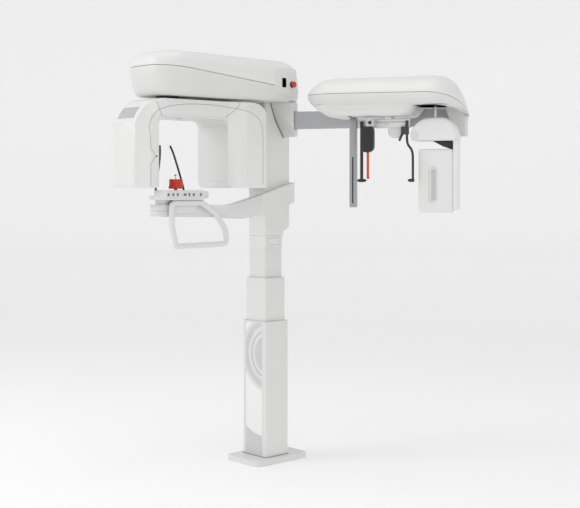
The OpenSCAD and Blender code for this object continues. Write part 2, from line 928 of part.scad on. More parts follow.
module ceph_bracket() {
    color("whitesmoke") {
        difference() {
            on_bar() prism_z(box_corners([-95, -42], [bar_u, 42], 14), bar_z - 38, over_z - seam);
            block([-200, -200, 0], [shell_w / 2 + seam, 300, over_z + 10]);
        }
        bracket_tongue(0);
    }
}

module ceph_bar() {
    color("silver") on_bar() difference() {
        prism_x(box_corners([-bar_t / 2, bar_z], [bar_t / 2, ceph_z], 5), bar_u, bar_end);
        prism_x(box_corners([bar_wall - bar_t / 2, bar_z + bar_wall], [bar_t / 2 - bar_wall, ceph_z - bar_wall], 2),
            bar_u - over, bar_end + over);
    }
}

function ceph_plan(t) = inset(box_corners([ceph_u, ceph_front], [ceph_u + ceph_len, ceph_back], ceph_r), t);

module ceph_slice(t, z) {
    prism_z(ceph_plan(t), z, z + 0.5);
}

module ceph_low_solid(t) {
    hull() {
        ceph_slice(31 + t, ceph_z + t);
        ceph_slice(10 + t, ceph_z + 22 + t);
        ceph_slice(t, ceph_seam - 0.5);
    }
}

module ceph_high_solid(t) {
    hull() {
        ceph_slice(t, ceph_seam + seam);
        ceph_slice(3 + t, ceph_seam + 0.3 * ceph_high);
        ceph_slice(14 + t, ceph_seam + 0.6 * ceph_high);
        ceph_slice(40 + t, ceph_seam + 0.86 * ceph_high - t);
        ceph_slice(90 + t, ceph_seam + ceph_high - 0.5 - t);
    }
}

module rider_slot(u, range, z0, z1) {
    block([u - slot_half, range[0], z0], [u + slot_half, range[1], z1]);
}

module ceph_lower_shell() {
    keel = box_corners([keel_u[0], keel_v[0]], [keel_u[1], keel_v[1]], 60);
    tail = box_corners([tail_u[0], tail_v[0]], [tail_u[1], tail_v[1]], 12);
    color("whitesmoke") on_bar() difference() {
        union() {
            difference() {
                union() {
                    ceph_low_solid(0);
                    prism_z(keel, keel_z, ceph_z + 8);
                }
                ceph_low_solid(cover_wall);
                ceph_slice(cover_wall, ceph_seam - 0.6);
                prism_z(inset(keel, cover_wall), keel_z + cover_wall, ceph_z + 8 + over);
            }
            difference() {
                prism_z(tail, tail_z, ceph_z + cover_wall);
                prism_z(inset(tail, cover_wall), tail_z + cover_wall, ceph_z - 1);
            }
        }
        rider_slot(collimator_u, collimator_range, keel_z - over, ceph_z + 12);
        rider_slot(sensor_u, sensor_range, ceph_z - over, ceph_z + 12);
        translate([head_u, head_v, 0]) rod_z(10 + run_gap, keel_z - over, keel_z + cover_wall + over);
    }
}

module ceph_top_cover() {
    color("white") on_bar() difference() {
        ceph_high_solid(0);
        ceph_high_solid(cover_wall);
        ceph_slice(cover_wall, ceph_seam + seam - 0.1);
    }
}

// A slider inside the housing, over a slot whose floor's top is at z
module rider(z) {
    block([-rider_half, -rider_half, z + slide_gap], [rider_half, rider_half, z + slide_gap + rider_t]);
}

module ceph_collimator() {
    color("silver") on_bar() translate([collimator_u, head_v, 0]) {
        rider(keel_z + cover_wall);
        block([1 - slot_half, -12, keel_z - 10], [slot_half - 1, 12, keel_z + cover_wall + 1]);
        block([-collimator_half, -12, collimator_low], [collimator_half, 12, keel_z - 3]);
    }
}

module head_positioner() {
    color("gainsboro") on_bar() translate([head_u, head_v, 0]) {
        rod_z(26, rail_high - 1, keel_z - slide_gap);
        rod_z(10, keel_z - 1, keel_z + cover_wall + 4);
        rod_z(18, keel_z + cover_wall + slide_gap, keel_z + cover_wall + slide_gap + 5);
    }
    color("gainsboro") on_bar() difference() {
        block([rail_u[0], rail_front, rail_low], [rail_u[1], rail_front + rail_deep, rail_high]);
        block([rail_u[0] + 5, rail_front - over, rail_low + 24],
            [rail_u[1] - 5, rail_front + 6, rail_low + 30]);
    }
    color("whitesmoke") on_bar()
        prism_z(box_corners([head_u + 4, rail_front + 8], [head_u + 80, rail_front + rail_deep - 4], 10),
            rail_low - 50, rail_low + 1);
}

// The slider of an ear arm on the rail's front face, from u to u + w
module ear_slider(u, w, low) {
    block([u, rail_front - slide_gap - ear_t, low], [u + w, rail_front - slide_gap, rail_low + 33]);
}

module ear_tip(u0, u1) {
    translate([0, rail_front - slide_gap - ear_t / 2, ear_z]) rod_x(ear_tip_r, u0, u1);
}

module ear_arm_left() {
    u = head_u - ear_gap / 2;
    color("#202020") on_bar() {
        ear_slider(u - ear_rod / 2, ear_rod, ear_z);
        ear_tip(u - ear_rod / 2 - 14, u + ear_step);
    }
}

module ear_arm_right() {
    u = head_u + ear_gap / 2 + 6;
    color("#202020") on_bar() {
        ear_slider(u - ear_rod - ear_step + 2, ear_rod, rail_low - 98);
        block([u - ear_rod - ear_step + 2, rail_front - slide_gap - ear_t, rail_low - 98],
            [u + ear_rod / 2, rail_front - slide_gap, rail_low - 84]);
        block([u - ear_rod / 2, rail_front - slide_gap - ear_t, ear_z],
            [u + ear_rod / 2, rail_front - slide_gap, rail_low - 84]);
        ear_tip(u - ear_step, u + ear_rod / 2);
    }
}

module nasion_holder() {
    v1 = rail_front - ear_t - 3;
    color("#202020") on_bar() difference() {
        union() {
            block([nasion_u - 34, v1 - 30, rail_low - 118], [nasion_u + 32, v1, rail_high]);
            block([nasion_u - 4, v1 - 1, rail_low + 34], [nasion_u + 32, rail_front, rail_high]);
        }
        translate([nasion_u, nasion_v, 0]) rod_z(nasion_r + run_gap, rail_low - 119, rail_low - 40);
    }
}

module nasion_rod() {
    color("orangered") on_bar() translate([nasion_u, nasion_v, 0]) {
        rod_z(nasion_r, rail_low - 245, rail_low - 75);
        translate([0, 0, rail_low - 239]) rod_y(nasion_r - 1, 0, 14);
    }
}

module sensor_carriage() {
    color("silver") on_bar() translate([sensor_u, sensor_v, 0]) {
        rider(ceph_z + cover_wall);
        rod_z(post_r, dome_high, ceph_z + cover_wall + 1);
    }
}

module sensor_arm() {
    color("whitesmoke") on_bar() translate([0, sensor_v, 0]) difference() {
        union() {
            rotate([90, 0, 0]) translate([0, 0, -dome_half]) linear_extrude(2 * dome_half)
                polygon(rounded([[dome_u[0], dome_low, 14], [dome_u[1], dome_low, 6], [dome_u[1], dome_high, 60],
                    [dome_u[0], dome_high, 80]]));
            block([dome_u[1] - spine_t - 2, -30, cassette_top - cassette_h + 12],
                [dome_u[1] - 2, 30, dome_low + 20]);
        }
        rotate([90, 0, 0]) translate([0, 0, cover_wall - dome_half])
            linear_extrude(2 * (dome_half - cover_wall))
                polygon(rounded([[dome_u[0] + 4, dome_low - 5, 3], [dome_u[1] - spine_t - 6, dome_low - 5, 3],
                    [dome_u[1] - spine_t - 6, dome_high - 20, 30], [dome_u[0] + 4, dome_high - 20, 50]]));
    }
}

module sensor_cassette() {
    u1 = dome_u[1] - spine_t - 2;
    color("whitesmoke") on_bar() translate([0, sensor_v, 0]) difference() {
        rotate([90, 0, 0]) translate([0, 0, -cassette_t / 2]) linear_extrude(cassette_t)
            polygon(rounded(box_corners([u1 - cassette_w, cassette_top - cassette_h], [u1, cassette_top], 14)));
        rotate([90, 0, 0]) translate([0, 0, cassette_t / 2 - 12]) linear_extrude(20)
            polygon(rounded(box_corners([u1 - 122, cassette_top - 258], [u1 - 72, cassette_top - 82], 24)));
    }
}

base_plate();
base_cover();
column_outer();
column_front_panel();
column_mid();
column_inner();
column_collar();
glide_pads_lower();
glide_pads_upper();
lift_spindle_lower();
lift_motor_lower();
lift_spindle_upper();
lift_motor_upper();
carriage_frame();
carriage_shell();
overhead_frame();
overhead_lower_shell();
overhead_top_cover();
gantry_rails();
gantry_carriage();
rotation_bearing();
arm_frame();
detector_leg_shell();
arm_inner_liner();
bridge_cover();
source_leg_shell();
source_leg_rear_cover();
flat_panel_detector();
xray_tube_head();
beam_collimator();
chin_arm();
panel_housing();
key_1();
key_2();
key_3();
key_4();
key_5();
key_6();
key_7();
temple_knob();
temple_rod_front();
temple_rod_back();
chin_rest();
bite_rod();
hand_grip();
power_switch();
stop_button();
ceph_bracket();
ceph_bar();
ceph_lower_shell();
ceph_top_cover();
ceph_collimator();
head_positioner();
ear_arm_left();
ear_arm_right();
nasion_holder();
nasion_rod();
sensor_carriage();
sensor_arm();
sensor_cassette();
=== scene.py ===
# %% [markdown]
# # Panoramic x-ray machine with a cephalometric arm
# The machine stands on a telescopic column. An overhead carries a turning arm with the x-ray source
# on one leg and the detector on the other, and a side arm carries a second unit for pictures of the
# whole head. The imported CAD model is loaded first: it fixes where every part is and how it moves.

# %% Load the frame
import bpy
import bmesh
import math
from mathutils import Matrix, Vector
from mathutils.bvhtree import BVHTree


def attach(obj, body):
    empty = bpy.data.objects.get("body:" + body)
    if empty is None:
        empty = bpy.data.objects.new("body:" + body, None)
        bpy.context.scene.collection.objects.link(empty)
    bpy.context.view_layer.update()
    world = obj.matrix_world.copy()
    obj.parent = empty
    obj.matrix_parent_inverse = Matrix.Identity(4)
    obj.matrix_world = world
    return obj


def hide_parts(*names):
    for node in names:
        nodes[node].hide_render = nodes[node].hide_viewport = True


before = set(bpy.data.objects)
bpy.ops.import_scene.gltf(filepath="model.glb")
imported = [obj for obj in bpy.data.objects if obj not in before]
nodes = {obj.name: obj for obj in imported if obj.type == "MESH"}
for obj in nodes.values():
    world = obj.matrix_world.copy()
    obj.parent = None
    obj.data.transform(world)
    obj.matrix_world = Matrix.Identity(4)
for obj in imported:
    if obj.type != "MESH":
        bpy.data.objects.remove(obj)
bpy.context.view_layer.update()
scene = bpy.context.scene

# %% [markdown]
# ## Camera
# A long lens from chest height keeps the uprights upright. A small shift moves the frame down and to
# one side without turning the camera, as a shift lens does.

# %% Camera
camera_data = bpy.data.cameras.new("camera")
camera_data.lens = 71.4
camera_data.sensor_width = 36
camera_data.shift_x = 0.0422
camera_data.shift_y = -0.1103
camera_data.clip_end = 60
camera = bpy.data.objects.new("camera", camera_data)
camera.location = (4.459, -4.015, 1.40)
camera.rotation_euler = (math.radians(90), 0, math.radians(48))
scene.collection.objects.link(camera)
scene.camera = camera
print("camera lens", camera_data.lens, "mm")

# %% [markdown]
# ## Stage and light
# The machine is white on white, so the light does the modelling: a bright, even surround with one
# large soft source at the front left, and a weaker one from the right. The floor runs up into a
# round wall, so no view meets a horizon.

# %% Stage and light
def sun_colour(code):
    """An sRGB hex value as the linear colour that a shader works with."""
    parts = [int(code[i:i + 2], 16) / 255 for i in (1, 3, 5)]
    return tuple(c / 12.92 if c < 0.04045 else ((c + 0.055) / 1.055) ** 2.4 for c in parts) + (1,)


scene.view_settings.view_transform = "Standard"
world = bpy.data.worlds.new("studio")
scene.world = world
world.use_nodes = True
world.node_tree.nodes["Background"].inputs["Color"].default_value = sun_colour("#FFFFFF")
world.node_tree.nodes["Background"].inputs["Strength"].default_value = 0.58


def softbox(name, place, aim, size, watts):
    """A square area light at place, which looks at aim."""
    data = bpy.data.lights.new(name, "AREA")
    data.size = size
    data.energy = watts
    lamp = bpy.data.objects.new(name, data)
    lamp.location = place
    lamp.rotation_euler = (Vector(aim) - Vector(place)).to_track_quat("-Z", "Y").to_euler()
    scene.collection.objects.link(lamp)


softbox("key_light", (-2.6, -5.2, 3.6), (0, -0.3, 1.2), 3.0, 80)
softbox("top_light", (0.6, -1.0, 5.2), (0.3, -0.2, 1.5), 3.4, 44)
softbox("fill_light", (5.5, -1.0, 2.2), (0.3, 0, 1.3), 2.6, 20)

# %% [markdown]
# ## Materials
# Each finish starts from what the real surface is. A slow, faint noise gives the slight unevenness
# that every moulding or coat of paint has. A fine noise drives the bump and the roughness together,
# because the same texture does both, and convex edges are painted a little lighter: a painted
# highlight along the edges. Scales come from real sizes in millimetres.

# %% Node helper and finish builder
def add(tree, kind, links=None, **settings):
    """Adds a node, sets it up, and links or fills its inputs."""
    made = tree.nodes.new(kind)
    for key, value in settings.items():
        setattr(made, key, value)
    for socket, value in (links or {}).items():
        if isinstance(value, bpy.types.NodeSocket):
            tree.links.new(value, made.inputs[socket])
        else:
            made.inputs[socket].default_value = value
    return made


def finish(name, colour, cloud, edge_highlight, rough, grain_mm, depth_mm, metallic=0.0, coat=0.0, stretch=(1, 1, 1)):
    """A moulded, painted or metal surface: colour with slow clouds of a second tone, convex edges painted
    lighter as a highlight, fine grain.
    """
    made = bpy.data.materials.new(name)
    made.use_nodes = True
    tree = made.node_tree
    shader = tree.nodes["Principled BSDF"]
    place = add(tree, "ShaderNodeTexCoord").outputs["Object"]
    drawn = add(tree, "ShaderNodeMapping", {"Vector": place, "Scale": stretch}).outputs["Vector"]
    clouds = add(tree, "ShaderNodeTexNoise", {"Vector": place, "Scale": 1000 / 140, "Detail": 3.0})
    tone = add(tree, "ShaderNodeMix", {"Factor": clouds.outputs["Fac"], "A": sun_colour(colour),
                                       "B": sun_colour(cloud)}, data_type="RGBA")
    # Convex edges are mixed towards a lighter colour: a painted highlight along the edges.
    edge = add(tree, "ShaderNodeMapRange", {
        "Value": add(tree, "ShaderNodeNewGeometry").outputs["Pointiness"],
        "From Min": 0.53, "From Max": 0.62, "To Min": 0.0, "To Max": 0.55})
    edged = add(tree, "ShaderNodeMix", {"Factor": edge.outputs["Result"], "A": tone.outputs["Result"],
                                        "B": sun_colour(edge_highlight)}, data_type="RGBA")
    tree.links.new(edged.outputs["Result"], shader.inputs["Base Color"])
    grain = add(tree, "ShaderNodeTexNoise", {"Vector": drawn, "Scale": 1000 / grain_mm, "Detail": 2.0})
    gloss = add(tree, "ShaderNodeMapRange", {"Value": grain.outputs["Fac"], "From Min": 0.3,
        "From Max": 0.7,
                                             "To Min": rough - 0.05, "To Max": rough + 0.05})
    tree.links.new(gloss.outputs["Result"], shader.inputs["Roughness"])
    bump = add(tree, "ShaderNodeBump", {"Height": grain.outputs["Fac"], "Strength": 0.6,
                                        "Distance": depth_mm / 1000})
    tree.links.new(bump.outputs["Normal"], shader.inputs["Normal"])
    shader.inputs["Metallic"].default_value = metallic
    if coat:
        shader.inputs["Coat Weight"].default_value = coat
        shader.inputs["Coat Roughness"].default_value = 0.25
    return made


# %% [markdown]
# The covers are moulded ABS, in a warm white with a satin texture from the mould. The column is
# powder coated, which leaves a fine orange peel. Two greys are used for decor and labels. The ceph
# bar is anodised aluminium, drawn along its length, and the parts that touch the patient are black
# nylon and red silicone.

# %% Finishes
moulded_abs = finish("moulded_abs_satin_white", "#E2E2E0", "#DCDCDA", "#EFEFEE", 0.42, 1.6, 0.05, coat=0.08)
# A lighter copy of the same white ABS, for the top covers, the detector leg and the sensor parts that face the
# lamps most: painted light.
moulded_abs_painted_lit = finish("moulded_abs_white_painted_lit", "#E8E8E7", "#E3E3E1", "#F2F2F1", 0.40, 1.6, 0.05,
    coat=0.10)
# A darker copy of the same white ABS, for the arm's inner liner, the panel pedestal and the head positioner,
# which sit under other parts: painted shade.
moulded_abs_painted_shade = finish("moulded_abs_white_painted_shade", "#DEDEDC", "#D8D8D6", "#ECECEB", 0.46, 1.6, 0.05)
powder_white = finish("powder_coated_steel_white", "#E0E0DE", "#DADAD8", "#EDEDEC", 0.48, 2.4, 0.08)
decor_grey = finish("printed_decor_film_grey", "#C9CACB", "#C2C3C4", "#D6D7D8", 0.50, 1.2, 0.03)
decor_pale = finish("printed_decor_film_pale", "#DADADA", "#D4D4D5", "#E6E6E6", 0.45, 1.2, 0.03)
decor_white = finish("printed_decor_film_white", "#ECECEB", "#E7E7E6", "#F4F4F3", 0.35, 1.2, 0.02, coat=0.2)
window_grey = finish("tinted_polycarbonate_window", "#B4B6B8", "#AEB0B2", "#C6C8CA", 0.28, 0.8, 0.01,
    coat=0.3)
# A dark grey for thin strips at seams, grooves and joints, where it is painted shade, and for the printed ring
# line of the column decor and the column wipers.
seam_shade_and_print_grey = finish("painted_seam_shade_and_print_grey", "#8C8E90", "#848688", "#989A9C", 0.75, 1.0, 0.03)
anodised = finish("anodised_drawn_aluminium", "#A9ABAD", "#9FA1A3", "#C4C6C8", 0.36, 1.4, 0.04,
    metallic=0.75, stretch=(0.12, 0.12, 1))
black_nylon = finish("moulded_nylon_black", "#1D1E20", "#26272A", "#4A4C50", 0.45, 1.2, 0.06)
red_silicone = finish("moulded_silicone_red", "#C4281A", "#D63A22", "#E85A40", 0.40, 1.5, 0.05)
signal_red = finish("moulded_button_red", "#C8140E", "#D21E14", "#E44438", 0.25, 1.0, 0.02, coat=0.4)
polished_steel = finish("ground_stainless_steel", "#B9BBBD", "#ABADAF", "#D8DADC", 0.24, 0.9, 0.02,
    metallic=1.0, stretch=(1, 1, 0.1))
dark_steel = finish("black_oxide_steel", "#3A3C3F", "#44474A", "#6A6D70", 0.50, 1.4, 0.05, metallic=0.8)
white_acetal = finish("machined_acetal_ivory", "#DAD6CA", "#D0CCC0", "#E8E4DA", 0.50, 1.0, 0.03)
key_grey = finish("moulded_key_grey", "#8F9194", "#87898C", "#A6A8AB", 0.50, 0.8, 0.03)
key_mark = finish("printed_key_mark", "#55585C", "#4E5155", "#6A6D71", 0.50, 0.8, 0.02)
stage_paper = finish("studio_paper_pale", "#F6F6F6", "#F3F3F3", "#F6F6F6", 0.90, 4.0, 0.02)
# The paper glows a little, which keeps the surround paler than the machine.
glow = stage_paper.node_tree.nodes["Principled BSDF"].inputs
glow["Emission Color"].default_value = sun_colour("#FFFFFF")
glow["Emission Strength"].default_value = 0.15
print("finishes:", len(bpy.data.materials))

# %% [markdown]
# ## Modelling helpers
# Most covers are lofts: an outline with rounded corners is drawn at several heights, a little
# smaller where the cover curves in, and each outline is bridged to the next. An outline starts from
# a few points, and a vertex bevel rounds its corners.

# %% Outlines and lofts
def inset(corners, amount):
    """Corners (a, b, radius) after every side moves inwards by amount; corners run counter-clockwise."""
    moved = []
    for i, (a, b, r) in enumerate(corners):
        before, here, after = (Vector(corners[(i + k) % len(corners)][:2]) for k in (-1, 0, 1))
        u, v = (here - before).normalized(), (after - here).normalized()
        outward = u.x * v.y - u.y * v.x > 0
        shift = Vector((-u.y - v.y, u.x + v.x)) * (amount / (1 + u.dot(v)))
        moved.append((a + shift.x, b + shift.y, max(r - amount if outward else r + amount, 0.0006)))
    return moved


def box_corners(a0, b0, a1, b1, r):
    return [(a0, b0, r), (a1, b0, r), (a1, b1, r), (a0, b1, r)]


def outline(bm, corners, place, steps=8):
    """Adds a closed outline with rounded corners, and returns its edges."""
    old = set(bm.edges)
    points = [bm.verts.new(place(a, b)) for a, b, r in corners]
    bm.faces.new(points)
    for i, point in enumerate(points):
        before, here, after = (Vector(corners[(i + k) % len(corners)][:2]) for k in (-1, 0, 1))
        half = (before - here).angle(after - here) / 2
        bmesh.ops.bevel(bm, geom=[point], offset=max(corners[i][2], 0.0006) / math.tan(half),
            segments=steps,
                        profile=0.5, affect="VERTICES", material=-1)
    loop = [e for e in bm.edges if e not in old]
    bmesh.ops.delete(bm, geom=list({f for e in loop for f in e.link_faces}), context="FACES_ONLY")
    return loop


def bridge(bm, loops, cap_first=False, cap_last=False):
    """Joins each outline to the next, and closes the ends that are asked for."""
    for low, high in zip(loops, loops[1:]):
        bmesh.ops.bridge_loops(bm, edges=low + high)
    if cap_first:
        bmesh.ops.contextual_create(bm, geom=loops[0])
    if cap_last:
        bmesh.ops.contextual_create(bm, geom=loops[-1])


def loft(bm, corners, levels, place, caps=(False, False), steps=8):
    """Bridges one outline through levels of (inset, height)."""
    loops = [outline(bm, inset(corners, t), lambda a, b, h=h: place(a, b, h), steps) for t, h in levels]
    bridge(bm, loops, *caps)


def lofted(corners, levels, place, caps=(False, False), steps=8):
    """A new mesh that holds one loft."""
    bm = bmesh.new()
    loft(bm, corners, levels, place, caps, steps)
    return bm


def flat(a, b, h):
    return (a, b, h)


def side(a, b, h):
    return (h, a, b)


def block(bm, low, high, turn=Matrix()):
    centre = (Vector(low) + Vector(high)) / 2
    size = Vector(high) - Vector(low)
    bmesh.ops.create_cube(bm, size=1, matrix=turn @ Matrix.Translation(centre) @ Matrix.Diagonal((*size,
        1)))


def rod(bm, start, end, r1, r2=None, sides=48):
    """A round bar or a cone from start to end."""
    start, end = Vector(start), Vector(end)
    turn = (end - start).to_track_quat("Z", "Y").to_matrix().to_4x4()
    bmesh.ops.create_cone(bm, cap_ends=True, segments=sides, radius1=r1, radius2=r1 if r2 is None else r2,
                          depth=(end - start).length, matrix=Matrix.Translation((start + end) / 2) @ turn)


def tube(bm, points, radius, closed=False, smooth=False):
    """A round tube along a path, by way of a curve that is turned into a mesh."""
    curve = bpy.data.curves.new("path", "CURVE")
    curve.dimensions = "3D"
    curve.bevel_depth = radius
    curve.bevel_resolution = 5
    curve.use_fill_caps = not closed
    line = curve.splines.new("NURBS" if smooth else "POLY")
    line.points.add(len(points) - 1)
    for knot, point in zip(line.points, points):
        knot.co = (*point, 1)
    line.use_cyclic_u = closed
    if smooth:
        line.order_u = 4
        line.use_endpoint_u = True
        line.resolution_u = 6
    holder = bpy.data.objects.new("path", curve)
    scene.collection.objects.link(holder)
    bm.from_mesh(bpy.data.meshes.new_from_object(holder.evaluated_get(bpy.context.evaluated_depsgraph_get())))
    bpy.data.objects.remove(holder)


# %% [markdown]
# A finished piece is a mesh object at the origin. Walls, cuts and small edge radii come from
# modifiers, and walls and cuts are baked into the mesh, so that the cutting tools can go. Then the
# piece gets its finish, and rides on the CAD body that carries it.

# %% From mesh to piece
def as_object(name, bm):
    bmesh.ops.remove_doubles(bm, verts=bm.verts, dist=0.00002)
    bmesh.ops.recalc_face_normals(bm, faces=bm.faces)
    mesh = bpy.data.meshes.new(name)
    bm.to_mesh(mesh)
    bm.free()
    made = bpy.data.objects.new(name, mesh)
    scene.collection.objects.link(made)
    return made


def bake(made, tools=()):
    """Applies the modifiers of an object, and removes the tools that they used."""
    made.data = bpy.data.meshes.new_from_object(made.evaluated_get(bpy.context.evaluated_depsgraph_get()))
    made.modifiers.clear()
    for tool in tools:
        bpy.data.objects.remove(tool)


def carve(made, tools, operation="DIFFERENCE"):
    for tool in tools:
        cut = made.modifiers.new("cut", "BOOLEAN")
        cut.object = tool
        cut.operation = operation
        cut.solver = "EXACT"
    bake(made, tools)


def piece(name, bm, body, material, stands_for=(), wall=0.0, tools=(), edge=0.0, angle=32,
    keep=False, even=True):
    """Makes a mesh a piece of the machine: wall, cuts, small radii, smooth shading, finish and body."""
    made = bm if keep else as_object(name, bm)
    made.name = name
    if wall:
        shell = made.modifiers.new("wall", "SOLIDIFY")
        shell.thickness = wall
        shell.offset = -1
        shell.use_even_offset = even
        bake(made)
    if tools:
        carve(made, tools)
    if edge:
        radius = made.modifiers.new("radius", "BEVEL")
        radius.width = edge
        radius.segments = 3
        radius.limit_method = "ANGLE"
        radius.angle_limit = math.radians(30)
        bake(made)
    made.data.shade_smooth()
    made.data.set_sharp_from_angle(angle=math.radians(angle))
    made.data.materials.clear()
    made.data.materials.append(material)
    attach(made, body)
    if stands_for:
        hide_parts(*stands_for)
    low = [min(v.co[i] for v in made.data.vertices) for i in range(3)]
    high = [max(v.co[i] for v in made.data.vertices) for i in range(3)]
    print(name, [round(v, 3) for v in low], [round(v, 3) for v in high], len(made.data.polygons))
    return made


def tool(bm):
    return as_object("tool", bm)


def block_tool(low, high, turn=Matrix()):
    bm = bmesh.new()
    block(bm, low, high, turn)
    return tool(bm)


def rod_tool(start, end, radius):
    bm = bmesh.new()
    rod(bm, start, end, radius)
    return tool(bm)


# %% [markdown]
# ## Stage
# The floor and its round wall are one profile, spun about the upright axis.

# %% Studio floor
bm = bmesh.new()
profile = [bm.verts.new(p) for p in ((0, 0, 0), (7, 0, 0), (8, 0, 0.15), (8.7, 0, 0.6), (9.1, 0, 1.4),
    (9.2, 0, 2.6), (9.2, 0, 5))]
profile = [bm.edges.new(pair) for pair in zip(profile, profile[1:])]
bmesh.ops.spin(bm, geom=profile, cent=(0, 0, 0), axis=(0, 0, 1), angle=math.tau, steps=96, use_merge=True)
bmesh.ops.transform(bm, matrix=Matrix.Translation((0, 0, -0.0005)), verts=bm.verts)
floor = as_object("studio_floor", bm)
floor.data.shade_smooth()
floor.data.materials.append(stage_paper)

# %% [markdown]
# ## Base and column
# The base is a steel plate under a thin moulded cover, which rises to a soft edge and meets the
# column in a neat hole. The column is three square tubes, one inside the next.

# %% Base cover
column_hole = box_corners(-0.0903, -0.0813, 0.0903, 0.0813, 0.0143)
base_plan = box_corners(-0.122, -0.166, 0.122, 0.190, 0.026)
bm = bmesh.new()
loops = [outline(bm, column_hole, lambda a, b: (a, b, 0.0298))]
for t, z in ((0.0085, 0.0300), (0.005, 0.0294), (0.002, 0.0275), (0.0005, 0.0245), (0, 0.021), (0, 0.0015),
    (0.001, 0.0)):
    loops.append(outline(bm, inset(base_plan, t), lambda a, b, z=z: (a, b, z)))
bridge(bm, loops)
piece("base_cover_moulding", bm, "base", moulded_abs, ("base_cover",), wall=0.003)
# A dark ring round the column at the cover's hole: painted shade of the joint.
piece("base_joint_shade", lofted(inset(column_hole, 0.0002),
    [(0, 0.0296), (-0.0035, 0.0299), (-0.0038, 0.0308), (-0.003, 0.0322), (0, 0.0326)], flat), "base",
    seam_shade_and_print_grey, ())


# %% Column tubes
def column_tube(name, body, half_x, half_y, z0, z1, node, tools=()):
    """A square tube with round corners, a bright folded rim at its top, and a 5 mm wall."""
    corners = box_corners(-half_x, -half_y, half_x, half_y, 0.014)
    bm = bmesh.new()
    loft(bm, corners, [(0.005, z1 - 0.004), (0.005, z1 - 0.001), (0.0042, z1 - 0.0003), (0.003, z1),
        (0.0012, z1 - 0.0003),
                       (0.0003, z1 - 0.0012), (0, z1 - 0.003), (0, z0), (0.005, z0), (0.005, z1 - 0.004)],
                       flat)
    return piece(name, bm, body, powder_white, (node,), tools=tools)


column_tube("column_lower_tube", "base", 0.090, 0.081, 0.012, 0.724, "column_outer",
            [block_tool((-0.063, -0.083, 0.034), (0.063, -0.0785, 0.716))])
column_tube("column_middle_tube", "mid_stage", 0.0775, 0.071, 0.330, 0.947, "column_mid")
column_tube("column_upper_tube", "carriage", 0.065, 0.061, 0.560, 1.158, "column_inner")

# %% [markdown]
# Each tube's top edge carries a thin wiper that keeps dust out of the gap. It shows as a fine dark
# line round the tube above.

# %% Wipers
for name, body, half_x, half_y, z in (("wiper_lower", "base", 0.0775, 0.071, 0.7225),
    ("wiper_middle", "mid_stage", 0.065, 0.061, 0.9455)):
    piece(name, lofted(box_corners(-half_x, -half_y, half_x, half_y, 0.014),
        [(-0.0006, z), (-0.0006, z - 0.006), (-0.0035, z - 0.006), (-0.0035, z), (-0.0006, z)], flat), body,
        seam_shade_and_print_grey, ())

# %% [markdown]
# The decor film on the column's front is a printed inlay in its recess: pale at the top with rings
# of a large circle, white in the middle, and grey at the foot. The circle's rings are thin raised
# bands, so that they catch the light, and everything is trimmed to the recess.

# %% Decor panel
def disc(bm, x, z, radius, y0, y1, sides=160):
    rod(bm, (x, y0, z), (x, y1, z), radius, sides=sides)


def decor_layer(name, shapes, y0, material, low=(-0.0627, 0.0343), high=(0.0627, 0.7157)):
    """A thin layer of film, which is the common part of the recess and the given discs."""
    bm = bmesh.new()
    block(bm, (low[0], y0, low[1]), (high[0], y0 + 0.0004, high[1]))
    layer = as_object(name, bm)
    for x, z, radius, operation in shapes:
        bm = bmesh.new()
        disc(bm, x, z, radius, y0 - 0.01, y0 + 0.01)
        carve(layer, [tool(bm)], operation)
    return piece(name, layer, "base", material, keep=True)


bm = bmesh.new()
block(bm, (-0.0627, -0.0805, 0.0343), (0.0627, -0.0785, 0.7157))
piece("decor_base_film", bm, "base", decor_white, ("column_front_panel",), edge=0.0003)
ring_x, ring_z = 0.105, 0.560
decor_layer("decor_upper_field", [(ring_x, ring_z, 0.195, "INTERSECT")], -0.0809, decor_pale)
decor_layer("decor_ring_wide", [(ring_x, ring_z, 0.176, "INTERSECT"),
    (ring_x, ring_z, 0.148, "DIFFERENCE")], -0.0813, decor_grey)
decor_layer("decor_ring_line", [(ring_x, ring_z, 0.122, "INTERSECT"),
    (ring_x, ring_z, 0.119, "DIFFERENCE")], -0.0813, seam_shade_and_print_grey)
decor_layer("decor_disc", [(ring_x, ring_z, 0.096, "INTERSECT")], -0.0813, decor_grey)
decor_layer("decor_foot_field", [(0.063, 0.36, 0.222, "DIFFERENCE")], -0.0811, decor_grey,
    high=(0.0627, 0.250))

# %% [markdown]
# The collar closes the joint between the upper tube and the carriage. A shallow service hatch is
# set in its right side.

# %% Collar
bm = bmesh.new()
collar = box_corners(-0.0675, -0.0635, 0.0675, 0.0635, 0.015)
loft(bm, collar, [(0.0023, 1.1035), (0.001, 1.103), (0.0003, 1.1036), (0, 1.105), (0, 1.162),
    (0.0003, 1.1632), (0.001, 1.1638), (0.0023, 1.1635),
                  (0.0023, 1.1035)], flat)
piece("collar_moulding", bm, "carriage", moulded_abs, ("column_collar",))
hatch = box_corners(-0.044, 1.117, 0.036, 1.152, 0.003)
# A dark rim round the hatch: painted shade of the groove round it.
piece("collar_hatch_groove_shade", lofted(hatch, [(0, 0.0670), (0, 0.0678)], side, (True, True)), "carriage",
    seam_shade_and_print_grey, ())
piece("collar_hatch", lofted(inset(hatch, 0.0012), [(0, 0.0670), (0, 0.0680), (0.0003, 0.0683)], side,
    (True, True)), "carriage", moulded_abs, ())

# %% [markdown]
# ## Carriage
# The carriage cover is a tall moulding round the steel post. It is the common part of a side
# profile and a plan, with its edges rounded over.

# %% Carriage cover
def common(name, profile, x0, x1, plan, z0, z1, steps=8):
    """The common part of a side profile, drawn out along X, and a plan, drawn out along Z."""
    made = as_object(name, lofted(profile, [(0, x0), (0, x1)], side, (True, True), steps))
    bm = bmesh.new()
    loft(bm, plan, [(0, z0), (0, z1)], flat, (True, True), steps)
    carve(made, [tool(bm)], "INTERSECT")
    return made


